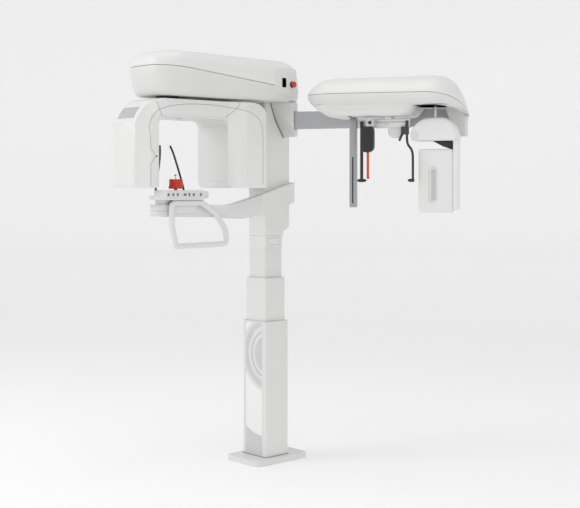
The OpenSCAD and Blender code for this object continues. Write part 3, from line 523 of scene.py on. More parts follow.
carriage_side = [(-0.0635, 1.1643, 0.001), (0.0635, 1.1643, 0.001), (0.0635, 1.184, 0.008),
    (0.114, 1.214, 0.008),
                 (0.114, 1.8497, 0.001), (-0.0635, 1.8497, 0.001)]
carriage_plan = box_corners(-0.0675, -0.0635, 0.0675, 0.114, 0.015)
made = common("carriage_moulding", carriage_side, -0.09, 0.09, carriage_plan, 1.1, 1.9)
post = block_tool((-0.0505, -0.0405, 1.17), (0.0505, 0.0505, 1.86))
room = tool(lofted(inset(carriage_plan, 0.0035), [(0, 1.22), (0, 1.852)], flat, (True, True)))
foot = tool(lofted(inset(box_corners(-0.0675, -0.0635, 0.0675, 0.0635, 0.015), 0.002),
    [(0, 1.15), (0, 1.174)], flat, (True, True)))
carve(made, [post, room, foot])
piece("carriage_moulding", made, "carriage", moulded_abs, ("carriage_shell",), edge=0.0012,
    keep=True)

# %% [markdown]
# ## Overhead
# The overhead is a long rounded box in two halves. Its seam rises towards the front, so the
# outlines near the seam are sheared: their height depends on how far forward a point is. Both
# halves turn in slightly at the seam, which gives the fine shadow line between mouldings.

# %% Overhead halves
over_plan = [(-0.195, -0.795, 0.150), (0.195, -0.795, 0.150), (0.195, 0.118, 0.120), (-0.195, 0.118, 0.120)]


def overhead_level(bm, t, z, lean, back=0.0):
    """One outline of the overhead; lean is how much of the seam's slope it follows."""
    plan = [(a, b + (back if b > 0 else 0), r) for a, b, r in over_plan]
    return outline(bm, inset(plan, t), lambda a, b: (a, b, z - 0.0926 * (b + 0.356) * lean), 14)


lower_levels = [(0.048, 1.8500, 0, 0.044), (0.039, 1.8520, 0, 0.034), (0.029, 1.8580, 0.05, 0.025),
    (0.020, 1.8675, 0.15, 0.017),
                (0.012, 1.8800, 0.32, 0.010), (0.006, 1.8960, 0.55, 0.0045), (0.002, 1.9160, 0.80, 0.0014),
                (0, 1.9350, 0.95, 0),
                (0, 1.9468, 1, 0), (0.0004, 1.9482, 1, 0), (0.0022, 1.9492, 1, 0)]
bm = bmesh.new()
slot = box_corners(-0.045, -0.705, 0.045, -0.580, 0.0445)
loops = [outline(bm, slot, lambda a, b: (a, b, 1.850), 14)]
loops += [overhead_level(bm, *level) for level in lower_levels]
bridge(bm, loops)
post_hole = block_tool((-0.0505, -0.0405, 1.84), (0.0505, 0.0505, 1.87))
switch_hole = block_tool((0.1845, -0.0633, 1.9217), (0.21, -0.0407, 1.9643))
stem_hole = rod_tool((0.17, 0.004, 1.936), (0.21, 0.004, 1.936), 0.0085)
piece("overhead_lower_moulding", bm, "carriage", moulded_abs, ("overhead_lower_shell",),
    wall=0.003,
      tools=[post_hole, switch_hole, stem_hole], angle=40)

upper_levels = [(0.0022, 1.9508, 1), (0.0004, 1.9518, 1), (0, 1.9532, 1), (0.0006, 1.968, 0.95),
    (0.002, 1.983, 0.85), (0.005, 1.999, 0.72),
                (0.010, 2.014, 0.58), (0.017, 2.027, 0.44), (0.027, 2.039, 0.32), (0.040, 2.0490, 0.22),
                (0.056, 2.0568, 0.14),
                (0.074, 2.0620, 0.08), (0.096, 2.0655, 0.03), (0.120, 2.0674, 0), (0.145, 2.0680, 0)]
bm = bmesh.new()
bridge(bm, [overhead_level(bm, *level) for level in upper_levels], cap_last=True)
piece("overhead_top_moulding", bm, "carriage", moulded_abs_painted_lit, ("overhead_top_cover",),
    wall=0.003, angle=40)

# %% [markdown]
# The right side of the overhead ends in a raised panel with a scalloped lower edge. It carries the
# mains rocker and the red stop button.

# %% Side panel with the rocker and the stop button
panel = [(-0.112, 1.892, 0.030), (0.034, 1.872, 0.012), (0.034, 2.020, 0.020), (-0.112, 2.012, 0.020)]
piece("overhead_side_panel", lofted(panel, [(0, 0.1700), (0, 0.1962), (0.0008, 0.1978), (0.0028, 0.1988)],
    side, (True, True), 10), "carriage", moulded_abs, (),
      tools=[block_tool((0.1845, -0.0633, 1.9217), (0.21, -0.0407, 1.9643)),
      rod_tool((0.16, 0.004, 1.936), (0.21, 0.004, 1.936), 0.0085)])
piece("rocker_bezel", lofted(box_corners(-0.0655, 1.9195, -0.0385, 1.9665, 0.003),
    [(0, 0.1985), (0, 0.2000), (0.0004, 0.2003), (0.0014, 0.2003), (0.0014, 0.1985)], side), "carriage",
    black_nylon, ())
bm = bmesh.new()
loft(bm, box_corners(-0.0618, 1.9252, -0.0422, 1.9608, 0.0015),
    [(0, 0.1915), (0, 0.1990), (0.0008, 0.1998), (0.003, 0.1998)], side, (True, True))
for point in bm.verts:
    if point.co.x > 0.19:
        point.co.x -= 0.0022 - 5.2 * (point.co.z - 1.943) ** 2
piece("rocker", bm, "power_switch", black_nylon, ("power_switch",))
bm = bmesh.new()
rod(bm, (0.1985, 0.004, 1.936), (0.2015, 0.004, 1.936), 0.0165, 0.0155)
piece("stop_button_collar", bm, "carriage", black_nylon, (),
    tools=[rod_tool((0.19, 0.004, 1.936), (0.22, 0.004, 1.936), 0.0088)], edge=0.0008)
bm = bmesh.new()
arc = [(0.187, 0), (0.187, 0.008), (0.2072, 0.008), (0.2072, 0.0135), (0.2085, 0.0150), (0.2140, 0.0150),
    (0.2166, 0.0140), (0.2182, 0.0115), (0.2190, 0.0070), (0.2190, 0)]
arc = [bm.verts.new((x, 0.004 + r, 1.936)) for x, r in arc]
arc = [bm.edges.new(pair) for pair in zip(arc, arc[1:])]
bmesh.ops.spin(bm, geom=arc, cent=(0, 0.004, 1.936), axis=(1, 0, 0), angle=math.tau, steps=48,
    use_merge=True)
piece("stop_button_mushroom", bm, "stop_button", signal_red, ("stop_button",))

# %% [markdown]
# ## Rotating arm
# The arm is a C seen from the side: a detector leg at the front, a bridge, and a deeper source leg
# at the back. One solid is made first, as the common part of its side profile and its plan with all
# edges rounded. Then it is sliced into its five mouldings by flat cuts that all but touch, so that only
# the drawn seams show, and each open slice gets its wall.

# %% The arm's outer form
arm_side = [(-0.900, 1.410, 0.024), (-0.765, 1.410, 0.016), (-0.765, 1.747, 0.036), (-0.357, 1.747, 0.036),
    (-0.357, 1.410, 0.042),
            (-0.110, 1.410, 0.028), (-0.110, 1.835, 0.105), (-0.900, 1.835, 0.165)]
arm_plan = [(-0.097, -0.900, 0.022), (0.097, -0.900, 0.022), (0.101, -0.765, 0.001), (0.118, -0.357, 0.010),
    (0.150, -0.252, 0.050),
            (0.150, -0.110, 0.028), (-0.150, -0.110, 0.028), (-0.150, -0.252, 0.050),
            (-0.118, -0.357, 0.010), (-0.101, -0.765, 0.001)]
arm_form = common("arm_form", arm_side, -0.16, 0.16, arm_plan, 1.40, 1.84, 12)
round_over = arm_form.modifiers.new("radius", "BEVEL")
round_over.width = 0.011
round_over.segments = 5
round_over.limit_method = "ANGLE"
round_over.angle_limit = math.radians(40)
bake(arm_form)
arm_bm = bmesh.new()
arm_bm.from_mesh(arm_form.data)
bmesh.ops.remove_doubles(arm_bm, verts=arm_bm.verts, dist=0.00002)
arm_surface = BVHTree.FromBMesh(arm_bm)
print("arm form faces:", len(arm_bm.faces))


# %% [markdown]
# A slice keeps what lies inside a box of y and z. Two boxes that share a cut can make one L-shaped
# moulding: their meshes are put together, and the doubles at the cut are merged.

# %% Slices of the arm
def arm_slice(boxes):
    whole = bmesh.new()
    for y0, y1, z0, z1 in boxes:
        part = arm_bm.copy()
        for point, normal in (((0, y0, 0), (0, -1, 0)), ((0, y1, 0), (0, 1, 0)), ((0, 0, z0), (0, 0, -1)),
            ((0, 0, z1), (0, 0, 1))):
            bmesh.ops.bisect_plane(part, geom=part.verts[:] + part.edges[:] + part.faces[:], plane_co=point,
                                   plane_no=normal, clear_outer=True)
        held = bpy.data.meshes.new("slice")
        part.to_mesh(held)
        part.free()
        whole.from_mesh(held)
        bpy.data.meshes.remove(held)
    return whole


gap = 0.00004
liner_top = 1.762
bm = arm_slice([(-1, -0.812 - gap, 1, 2), (-0.812 - gap, -0.770 - gap, liner_top + gap, 2)])
piece("detector_leg_moulding", bm, "rotating_arm", moulded_abs_painted_lit, ("detector_leg_shell",),
    wall=0.003, angle=40)
bm = arm_slice([(-0.812 + gap, -0.3576, 1, liner_top - gap)])
piece("inner_liner_moulding", bm, "rotating_arm", moulded_abs_painted_shade, ("arm_inner_liner",),
    wall=0.003, angle=40)
bm = arm_slice([(-0.770 + gap, -0.305 - gap, liner_top + gap, 2)])
piece("bridge_moulding", bm, "rotating_arm", moulded_abs, ("bridge_cover",), wall=0.003,
      tools=[rod_tool((0, -0.640, 1.79), (0, -0.640, 1.86), 0.0556)], angle=40)
bm = arm_slice([(-0.3575, -0.305 + gap, 1, liner_top - gap), (-0.305 + gap, -0.142 - gap, 1, 2)])
piece("source_leg_moulding", bm, "rotating_arm", moulded_abs, ("source_leg_shell",),
    wall=0.003, angle=40)
bm = arm_slice([(-0.142 + gap, 0, 1, 2)])
piece("source_leg_rear_moulding", bm, "rotating_arm", moulded_abs, ("source_leg_rear_cover",),
    wall=0.003, angle=40)


# %% [markdown]
# A long seam runs over the arm's sides, from the detector leg over the bridge and down behind the
# source leg. It is drawn as a thin dark cord, painted shade of the seam's groove: points on a smooth
# line are dropped onto the arm's surface, and a thin tube follows them, half sunk.

# %% Seams and small marks on the arm
def painted_seam_shade_line(name, line, body, surface, reach, aim, radius=0.0010, steps=10):
    """A thin tube over a surface, along a smooth line through points that are projected in direction aim."""
    knots = [Vector(p) for p in line]
    path = []
    for i in range(len(knots) - 1):
        a, b, c, d = knots[max(i - 1, 0)], knots[i], knots[i + 1], knots[min(i + 2, len(knots) - 1)]
        for k in range(steps + (i == len(knots) - 2)):
            t = k / steps
            path.append(0.5 * (2 * b + (c - a) * t + (2 * a - 5 * b + 4 * c - d) * t ** 2 + (3 * b - a - 3 * c + d) * t ** 3))
    hits = [surface.ray_cast(p - Vector(aim) * reach, Vector(aim))[0] for p in path]
    bm = bmesh.new()
    # The dark tube, half sunk in the surface, is painted shade of the seam's groove.
    tube(bm, [h for h in hits if h], radius)
    return piece(name, bm, body, seam_shade_and_print_grey, ())


for mark, way in (("right", 1), ("left", -1)):
    line = [(0, -0.8205, 1.7000), (0, -0.8110, 1.7300), (0, -0.7800, 1.7680), (0, -0.7400, 1.7880),
        (0, -0.6890, 1.8010), (0, -0.6200, 1.8110),
            (0, -0.5440, 1.8150), (0, -0.4080, 1.8130), (0, -0.2960, 1.8000), (0, -0.2200, 1.7800),
            (0, -0.1730, 1.7500), (0, -0.1560, 1.7150),
            (0, -0.1520, 1.6600), (0, -0.1520, 1.5600), (0, -0.1520, 1.4600), (0, -0.1540, 1.4300)]
    painted_seam_shade_line(f"arm_side_seam_{mark}", line, "rotating_arm", arm_surface, 0.3, (-way, 0, 0))
    for n, cut in enumerate(([(0, -0.7852, 1.8189), (0, -0.7739, 1.8067), (0, -0.7626, 1.7837),
        (0, -0.7467, 1.7481)], [(0, -0.2951, 1.8496), (0, -0.2976, 1.8221), (0, -0.319, 1.7954),
        (0, -0.3677, 1.7597)],
                             [(0, -0.8120, 1.4150), (0, -0.8120, 1.5220)],
                             [(0, -0.8120, 1.5960), (0, -0.8150, 1.6500), (0, -0.8205, 1.7000)])):
        painted_seam_shade_line(f"arm_cover_seam_{mark}_{n + 1}", cut, "rotating_arm", arm_surface, 0.3, (-way, 0, 0),
            steps=6)
    notch = [(0, -0.8120, 1.596), (0, -0.7930, 1.572), (0, -0.7860, 1.560), (0, -0.7930, 1.546),
        (0, -0.8120, 1.522)]
    painted_seam_shade_line(f"liner_notch_{mark}", notch, "rotating_arm", arm_surface, 0.3, (-way, 0, 0), steps=3)
    spot = arm_surface.ray_cast(Vector((way * 0.3, -0.778, 1.559)), Vector((-way, 0, 0)))[0]
    bm = bmesh.new()
    rod(bm, spot - Vector((way * 0.003, 0, 0)), spot + Vector((way * 0.0006, 0, 0)), 0.0045, 0.004)
    piece(f"laser_port_{mark}", bm, "rotating_arm", black_nylon, ())

# %% [markdown]
# A tinted window lies in the curved shoulder of the detector leg. It is an edge spun about the
# shoulder's own axis, so it follows the curve, and then thickened.

# %% Window and laser slit
bm = bmesh.new()
turn = Matrix.Rotation(-math.radians(24), 3, "X")
ends = [bm.verts.new(Vector((x, -0.735, 1.670)) + turn @ Vector((0, -0.1652, 0))) for x in (-0.066, 0.066)]
bmesh.ops.spin(bm, geom=[bm.edges.new(ends)], cent=(0, -0.735, 1.670), axis=(1, 0, 0),
    angle=-math.radians(23), steps=14)
piece("leg_window", bm, "rotating_arm", window_grey, (), wall=0.0012)
bm = bmesh.new()
block(bm, (0.010, -0.600, 1.7462), (0.013, -0.560, 1.7475))
piece("laser_slit", bm, "rotating_arm", black_nylon, (), edge=0.0003)
bpy.data.objects.remove(arm_form)

# %% [markdown]
# ## Chin support and control panel
# A curved arm reaches forward from the carriage and ends in a flat hub. The control panel sits on
# the hub with its keys towards the operator, and its top is slightly crowned, as a moulding is that
# must shed disinfectant.

# %% Chin arm
chin_side = [(-0.765, 1.274, 0.022), (-0.400, 1.266, 0.200), (-0.250, 1.254, 0.200), (-0.080, 1.280, 0.100),
    (0.114, 1.338, 0.004),
             (0.114, 1.441, 0.004), (-0.080, 1.386, 0.200), (-0.290, 1.326, 0.200), (-0.765, 1.330, 0.022)]
chin_plan = [(0.008, -0.765, 0.034), (0.098, -0.765, 0.034), (0.098, -0.540, 0.060), (0.092, -0.400, 0.120),
    (0.1048, -0.110, 0.200),
             (0.1048, 0.114, 0.010), (0.0678, 0.114, 0.001), (0.0678, -0.080, 0.040),
             (0.010, -0.400, 0.100)]
made = common("chin_arm_casting", chin_side, 0.0, 0.12, chin_plan, 1.20, 1.50)
piece("chin_arm_casting", made, "carriage", powder_white, ("chin_arm",), edge=0.0035,
    keep=True, angle=40)
# A dark band at the top of the hub, under the panel: painted shade of the joint.
bm = bmesh.new()
hub = [(0.0077, -0.7653, 0.034), (0.0983, -0.7653, 0.034), (0.0983, -0.545, 0.030), (0.088, -0.490, 0.002),
    (0.018, -0.490, 0.002), (0.0077, -0.545, 0.030)]
loft(bm, hub, [(0, 1.2998), (0, 1.3010)], flat, (True, True))
piece("chin_hub_joint_shade", bm, "carriage", seam_shade_and_print_grey, ())

# %% Key outlines and pockets
chin_axis = (0.066, -0.640)
panel_face = 0.139
key_row = [(-0.738, "round"), (-0.710, "round"), (-0.684, "round"), (-0.640, "oval"), (-0.614, "upright"),
    (-0.588, "square"), (-0.544, "diamond")]
key_shapes = {"round": box_corners(-0.007, -0.007, 0.007, 0.007, 0.0069),
    "oval": box_corners(-0.0095, -0.0055, 0.0095, 0.0055, 0.0054),
              "upright": box_corners(-0.005, -0.008, 0.005, 0.008, 0.002),
              "square": box_corners(-0.0065, -0.0065, 0.0065, 0.0065, 0.002),
              "diamond": [(-0.009, 0, 0.001), (0, -0.009, 0.001), (0.009, 0, 0.001), (0, 0.009, 0.001)]}


def key_prism(centre_y, shape, shrink, x0, x1, soft=0.0):
    bm = bmesh.new()
    corners = [(a + centre_y, b + 1.378, r) for a, b, r in key_shapes[shape]]
    levels = [(shrink, x0), (shrink, x1 - soft), (shrink + 0.3 * soft, x1 - 0.3 * soft),
        (shrink + soft, x1)] if soft else [(shrink, x0), (shrink, x1)]
    loft(bm, corners, levels, side, (True, True), 6)
    return bm


def key_pockets():
    return [tool(key_prism(y, shape, -0.0004, panel_face - 0.008, panel_face + 0.003)) for y,
        shape in key_row]


# %% Panel housing
bm = bmesh.new()
loft(bm, box_corners(0.053, -0.768, 0.139, -0.512, 0.020),
     [(0.006, 1.3520), (0.002, 1.3528), (0, 1.3550), (0, 1.3900), (0.001, 1.3935), (0.0035, 1.3962),
     (0.007, 1.3975), (0.012, 1.3980)], flat, (True, True))
for point in bm.verts:
    if point.co.z > 1.385:
        point.co.z += 0.0035 * (1 - ((point.co.y + 0.640) / 0.128) ** 2)
housing = as_object("panel_housing_moulding", bm)
bores = [rod_tool((*chin_axis, 1.360), (*chin_axis, 1.42), 0.0082),
    rod_tool((0.096, -0.543, 1.378), (0.096, -0.50, 1.378), 0.0052)]
piece("panel_housing_moulding", housing, "carriage", moulded_abs, ("panel_housing",),
    tools=key_pockets() + bores, keep=True, angle=38)
bm = bmesh.new()
loft(bm, box_corners(0.004, -0.754, 0.060, -0.526, 0.008),
    [(0.001, 1.3522), (0, 1.3535), (0, 1.3700), (0.0008, 1.3715), (0.0025, 1.3720)], flat, (True, True))
slots = [block_tool((0.0137, -0.640 + s * 0.085 - 0.026, 1.3575),
    (0.0263, -0.640 + s * 0.085 + 0.026, 1.38)) for s in (-1, 1)]
piece("temple_slide_tray", bm, "carriage", moulded_abs, (), tools=slots)
piece("panel_pedestal", lofted(box_corners(0.020, -0.735, 0.092, -0.545, 0.014),
    [(0, 1.3302), (0, 1.3345), (0.004, 1.3350), (0.004, 1.3385), (0, 1.3390), (0, 1.3530)], flat,
    (True, True)), "carriage", moulded_abs_painted_shade, ())
bm = bmesh.new()
plate = [(-0.752, 1.3580, 0.008), (-0.528, 1.3580, 0.010), (-0.534, 1.3925, 0.010), (-0.728, 1.3955, 0.014)]
loft(bm, plate, [(0, 0.1380), (0, 0.1393), (0.0007, 0.1399)], side, (True, True))
piece("panel_face_plate", bm, "carriage", decor_pale, (), tools=key_pockets())

# %% [markdown]
# Each key is a soft moulded cap in its own pocket, with a plain printed mark of its own shape.

# %% Keys
for number, (y, shape) in enumerate(key_row, 1):
    piece(f"key_cap_{number}", key_prism(y, shape, 0, 0.133, 0.1405, 0.0012), f"key_{number}", key_grey,
        (f"key_{number}",))
    mark = 0.0021 if shape in ("upright", "oval") else 0.0030
    piece(f"key_mark_{number}", key_prism(y, shape, mark, 0.1402, 0.14062), f"key_{number}", key_mark, ())


# %% [markdown]
# Turned parts are a profile spun about an axis. The temple knob has a grip ring of shallow flutes
# near its rounded end.

# %% Knob, temple rods and chin rest
def turned(bm, profile, base, axis, up, steps=48):
    """Spins a profile of (along, radius) about an axis through base; up is the direction of the radius."""
    base, axis, up = Vector(base), Vector(axis), Vector(up)
    points = [bm.verts.new(base + axis * a + up * r) for a, r in profile]
    bmesh.ops.spin(bm, geom=[bm.edges.new(pair) for pair in zip(points, points[1:])], cent=base, axis=axis,
        angle=math.tau,
                   steps=steps, use_merge=True)


bm = bmesh.new()
turned(bm, [(-0.030, 0), (-0.030, 0.005), (0.0003, 0.005), (0.0003, 0.0140), (0.004, 0.0140),
    (0.0045, 0.0165), (0.006, 0.0178), (0.010, 0.0180),
            (0.034, 0.0174), (0.039, 0.0160), (0.0425, 0.0128), (0.044, 0.0080), (0.044, 0)],
            (0.096, -0.512, 1.378), (0, 1, 0), (1, 0, 0), 64)
flutes = []
for k in range(24):
    turn = Matrix.Rotation(math.tau * k / 24, 3, "Y")
    across = turn @ Vector((0.0190, 0, 0))
    flutes.append(((0.096 + across.x, -0.500, 1.378 + across.z),
        (0.096 + across.x, -0.482, 1.378 + across.z)))
cuts = bmesh.new()
for start, end in flutes:
    rod(cuts, start, end, 0.0016, sides=10)
piece("temple_knob_moulding", bm, "temple_knob", moulded_abs, ("temple_knob",),
    tools=[tool(cuts)], angle=40)
for body, s in (("temple_front", -1), ("temple_back", 1)):
    path = [(0, 0, 0), (0, 0, 0.020), (0, 0, 0.040), (-0.004, -0.009, 0.072), (-0.008, -0.018, 0.108),
        (-0.014, -0.032, 0.158),
            (-0.023, -0.043, 0.205), (-0.031, -0.049, 0.230), (-0.0385, -0.0535, 0.247)]
    bm = bmesh.new()
    tube(bm, [(0.020 + x, -0.640 + s * (0.085 + y), 1.3663 + z) for x, y, z in path], 0.0050, smooth=True)
    tip = (0.020 - 0.0375, -0.640 + s * (0.085 - 0.0530), 1.3663 + 0.2455)
    bmesh.ops.create_uvsphere(bm, u_segments=20, v_segments=12, radius=0.0055,
        matrix=Matrix.Translation(tip))
    loft(bm, box_corners(0.014, -0.640 + s * 0.085 - 0.010, 0.026, -0.640 + s * 0.085 + 0.010, 0.003),
         [(0, 1.3583), (0, 1.3690), (0.0015, 1.3703)], flat, (True, True), 4)
    node = "temple_rod_front" if s < 0 else "temple_rod_back"
    piece(node.replace("rod", "arm"), bm, body, black_nylon, (node,))

bm = bmesh.new()
cup = [(1.4060, 0), (1.4060, 0.0325), (1.4066, 0.0338), (1.4080, 0.0340)]
for k in range(5):
    z = 1.4140 + 0.0072 * k
    cup += [(z, 0.0340), (z + 0.0008, 0.0331), (z + 0.0020, 0.0331), (z + 0.0028, 0.0340)]
cup += [(1.4500, 0.0340), (1.4514, 0.0335), (1.4520, 0.0320), (1.4514, 0.0305), (1.4500, 0.0300),
    (1.4180, 0.0300), (1.4165, 0.0290), (1.4160, 0.0270), (1.4160, 0)]
turned(bm, cup, (*chin_axis, 0), (0, 0, 1), (1, 0, 0), 64)
rod(bm, (*chin_axis, 1.3700), (*chin_axis, 1.4062), 0.008)
piece("chin_cup", bm, "chin_rest", red_silicone, ("chin_rest",),
      tools=[block_tool((0.025, -0.68, 1.4205), (0.058, -0.60, 1.46)),
      rod_tool((0.066, -0.64, 1.41), (0.066, -0.64, 1.43), 0.0026)], edge=0.0004, angle=45)
bm = bmesh.new()
turned(bm, [(1.4070, 0), (1.4070, 0.0025), (1.4680, 0.0025), (1.4700, 0.0022), (1.4740, 0.0020),
    (1.4742, 0)], (*chin_axis, 0), (0, 0, 1), (1, 0, 0), 24)
turned(bm, [(-0.010, 0), (-0.010, 0.0030), (-0.009, 0.0040), (-0.002, 0.0040), (-0.001, 0.0030),
    (0.004, 0.0030), (0.006, 0.0020), (0.006, 0)],
       (*chin_axis, 1.471), (1, 0, 0), (0, 0, 1), 24)
piece("bite_pin", bm, "chin_rest", polished_steel, ("bite_rod",))

# %% [markdown]
# The hand grip is one bent tube. Its path is the grip's outer outline moved in by the tube's radius.

# %% Hand grip
def walk(corners, place, steps=10):
    """The points of a rounded outline, in order."""
    bm = bmesh.new()
    loop = outline(bm, corners, place, steps)
    here = loop[0].verts[0]
    edge, points = loop[0], []
    for _ in loop:
        points.append(here.co.copy())
        here = edge.other_vert(here)
        edge = next(e for e in here.link_edges if e is not edge)
    bm.free()
    return points


grip = [(-0.720, 1.352, 0.034), (-0.720, 1.232, 0.060), (-0.692, 1.117, 0.028), (-0.353, 1.122, 0.034),
    (-0.362, 1.212, 0.060),
        (-0.432, 1.300, 0.060), (-0.520, 1.352, 0.050)]
bm = bmesh.new()
tube(bm, walk(inset(grip, 0.014), lambda a, b: (0.122, a, b)), 0.014, closed=True)
piece("hand_grip_tube", bm, "carriage", moulded_abs, ("hand_grip",), angle=50)
bm = bmesh.new()
block(bm, (0.096, -0.706, 1.290), (0.116, -0.550, 1.328))
piece("hand_grip_saddle", bm, "carriage", moulded_abs, (), edge=0.006)

# %% [markdown]
# ## Ceph unit
# Everything here is drawn along the bar, which points 27 degrees behind the machine's right. One
# matrix turns those coordinates (u along the bar, v to the back) into the machine's.

# %% Ceph frame, bracket and bar
turn_pin, nasion_axis = (0.5885, -0.220), (0.503, -0.2703)
on_bar = Matrix.Translation((0.120, 0.050, 0)) @ Matrix.Rotation(math.radians(27), 4, "Z")


def ceph(u, v, z):
    return on_bar @ Vector((u, v, z))


def ceph_side(u, z, v):
    return on_bar @ Vector((u, v, z))


def ceph_end(v, z, u):
    return on_bar @ Vector((u, v, z))


bracket = as_object("ceph_bracket_casting", lofted(box_corners(-0.095, -0.042, 0.040, 0.042, 0.014),
    [(0, 1.675), (0, 1.8497)], ceph, (True, True)))
bm = bmesh.new()
shape = [(-0.036, 1.900, 0.01), (-0.024, 1.8400, 0.1), (0.010, 1.7600, 0.1), (0.066, 1.6700, 0.012),
    (0.092, 1.6600, 0.012), (0.130, 1.7000, 0.02), (0.130, 1.900, 0.01)]
loft(bm, shape, [(0, 0.0678), (0, 0.30)], side, (True, True))
carve(bracket, [tool(bm)], "INTERSECT")
piece("ceph_bracket_casting", bracket, "carriage", moulded_abs, ("ceph_bracket",),
    edge=0.005, keep=True, angle=40)
# A dark strip along the bracket's edge: painted shade of the groove behind it.
bm = bmesh.new()
shape = [(-0.0290, 1.8490, 0.001), (-0.0280, 1.8400, 0.1), (0.005, 1.7560, 0.1), (0.060, 1.6720, 0.006),
    (0.075, 1.6720, 0.006), (0.020, 1.7640, 0.1), (-0.010, 1.8490, 0.001)]
loft(bm, shape, [(0, 0.0672), (0, 0.0715)], side, (True, True))
piece("ceph_bracket_groove_shade", bm, "carriage", seam_shade_and_print_grey, ())
piece("ceph_bar_profile", lofted(box_corners(-0.0175, 1.713, 0.0175, 1.803, 0.005),
    [(0, 0.0402), (0, 0.8598)], ceph_end), "carriage", anodised, ("ceph_bar",), wall=0.004)
# A dark ring where the bar leaves the bracket: painted shade of the joint.
piece("ceph_bar_joint_shade", lofted(box_corners(-0.0175, 1.713, 0.0175, 1.803, 0.005),
    [(-0.0022, 0.0385), (-0.0022, 0.0425), (0.0006, 0.0425), (0.0006, 0.0385), (-0.0022, 0.0385)],
    ceph_end), "carriage", seam_shade_and_print_grey, ())

# %% [markdown]
# The housing is lofted like the overhead. Its seam runs level along the side and sweeps down round
# the far end, so the outlines are made flat first, and then each point is lowered by an amount that
# grows towards that end.

# %% Ceph housing
ceph_plan = box_corners(0.178, -0.335, 0.957, 0.035, 0.150)


def ceph_level(bm, t, z, droop):
    loop = outline(bm, inset(ceph_plan, t), lambda a, b: ceph(a, b, z), 14)
    for point in {v for e in loop for v in e.verts}:
        u, v, _ = on_bar.inverted() @ point.co
        point.co.z -= droop * 0.116 * (max(u - 0.70, 0) / 0.257) ** 2.2 * (1 - 2.75 * max(-0.06 - v, 0))
    return loop


bm = bmesh.new()
lower = [(0.120, 1.8030, 0), (0.070, 1.8030, 0.20), (0.044, 1.8030, 0.36), (0.039, 1.8040, 0.40),
    (0.030, 1.8105, 0.48), (0.0215, 1.8190, 0.57),
         (0.0165, 1.8240, 0.62), (0.0120, 1.8280, 0.66), (0.0060, 1.8370, 0.76), (0.0022, 1.8460, 0.85),
         (0.0004, 1.8550, 0.94), (0, 1.8592, 1),
         (0.0004, 1.8606, 1), (0.0022, 1.8615, 1)]
bridge(bm, [ceph_level(bm, *level) for level in lower], cap_first=True)
slots = [block_tool((0.4058, -0.290, 1.79), (0.4262, -0.150, 1.83), on_bar),
    block_tool((0.805, -0.284, 1.76), (0.825, -0.116, 1.83), on_bar)]
piece("ceph_lower_moulding", bm, "carriage", moulded_abs, ("ceph_lower_shell",), wall=0.003,
    tools=slots, angle=40, even=False)
bm = bmesh.new()
upper = [(0.0022, 1.8628, 1), (0.0004, 1.8636, 1), (0, 1.8650, 1), (0.0030, 1.8740, 0.94),
    (0.0100, 1.8850, 0.86), (0.0210, 1.8980, 0.74),
         (0.0340, 1.9105, 0.60), (0.0480, 1.9210, 0.46), (0.0640, 1.9300, 0.32), (0.0820, 1.9368, 0.20),
         (0.1030, 1.9412, 0.10), (0.1250, 1.9434, 0.03), (0.1450, 1.9440, 0)]
bridge(bm, [ceph_level(bm, *level) for level in upper], cap_last=True)
piece("ceph_top_moulding", bm, "carriage", moulded_abs_painted_lit, ("ceph_top_cover",),
    wall=0.003, angle=40, even=False)

bm = bmesh.new()
keel = [(0.030, 1.7520, 0), (0.018, 1.7524, 0), (0.009, 1.7545, 0.002), (0.003, 1.7585, 0.008),
    (0, 1.7640, 0.016), (0, 1.7740, 0.032),
        (0, 1.7840, 0.050), (0, 1.7940, 0.062), (0, 1.8120, 0.070)]
loops = [outline(bm, inset(box_corners(0.300 - spread, -0.300, 0.700 + 0.5 * spread, -0.020, 0.060), t),
    lambda a, b: ceph(a, b, z), 12) for t, z, spread in keel]
bridge(bm, loops, cap_first=True)
cuts = [block_tool((0.4058, -0.290, 1.74), (0.4262, -0.150, 1.77), on_bar),
    rod_tool(ceph(*turn_pin, 1.74), ceph(*turn_pin, 1.77), 0.0102)]
piece("ceph_keel_moulding", bm, "carriage", moulded_abs, (), wall=0.003, tools=cuts,
    angle=40, even=False)
bm = bmesh.new()
tail = [(1.6600, 0, 0.003), (1.6610, 0, 0.001), (1.6640, 0, 0), (1.7450, 0, 0), (1.7570, 0.004, 0.003),
    (1.7720, 0.009, 0.012),
        (1.7870, 0.013, 0.026), (1.8000, 0.014, 0.040), (1.8080, 0.014, 0.045)]
loops = []
for z, spread, draw in tail:
    corners = [(0.850 - spread, -0.060 - spread, 0.012), (0.9520 - draw, -0.060 - spread, 0.020),
        (0.9260 - draw, -0.0085 - draw, 0.060),
               (0.8840 - draw, 0.0165 - draw, 0.030), (0.850 - spread, 0.0270 - draw, 0.012)]
    loops.append(outline(bm, corners, lambda a, b: ceph(a, b, z)))
bridge(bm, loops, True, True)
piece("ceph_tail_moulding", bm, "carriage", moulded_abs, (), angle=40)
# A dark ring on the housing's underside round the sensor's way: painted shade of the gap.
piece("sensor_way_shadow_gap", lofted(box_corners(0.700, -0.300, 0.925, -0.090, 0.100),
    [(0, 1.7995), (0, 1.8024), (0.0035, 1.8024), (0.0035, 1.7995), (0, 1.7995)], ceph, steps=12),
    "carriage", seam_shade_and_print_grey, ())

# %% [markdown]
# The secondary collimator is an aluminium blade box that hangs from its slider. The head positioner
# turns on a pin, and its rail carries the two ear arms and the holder of the nasion rod.

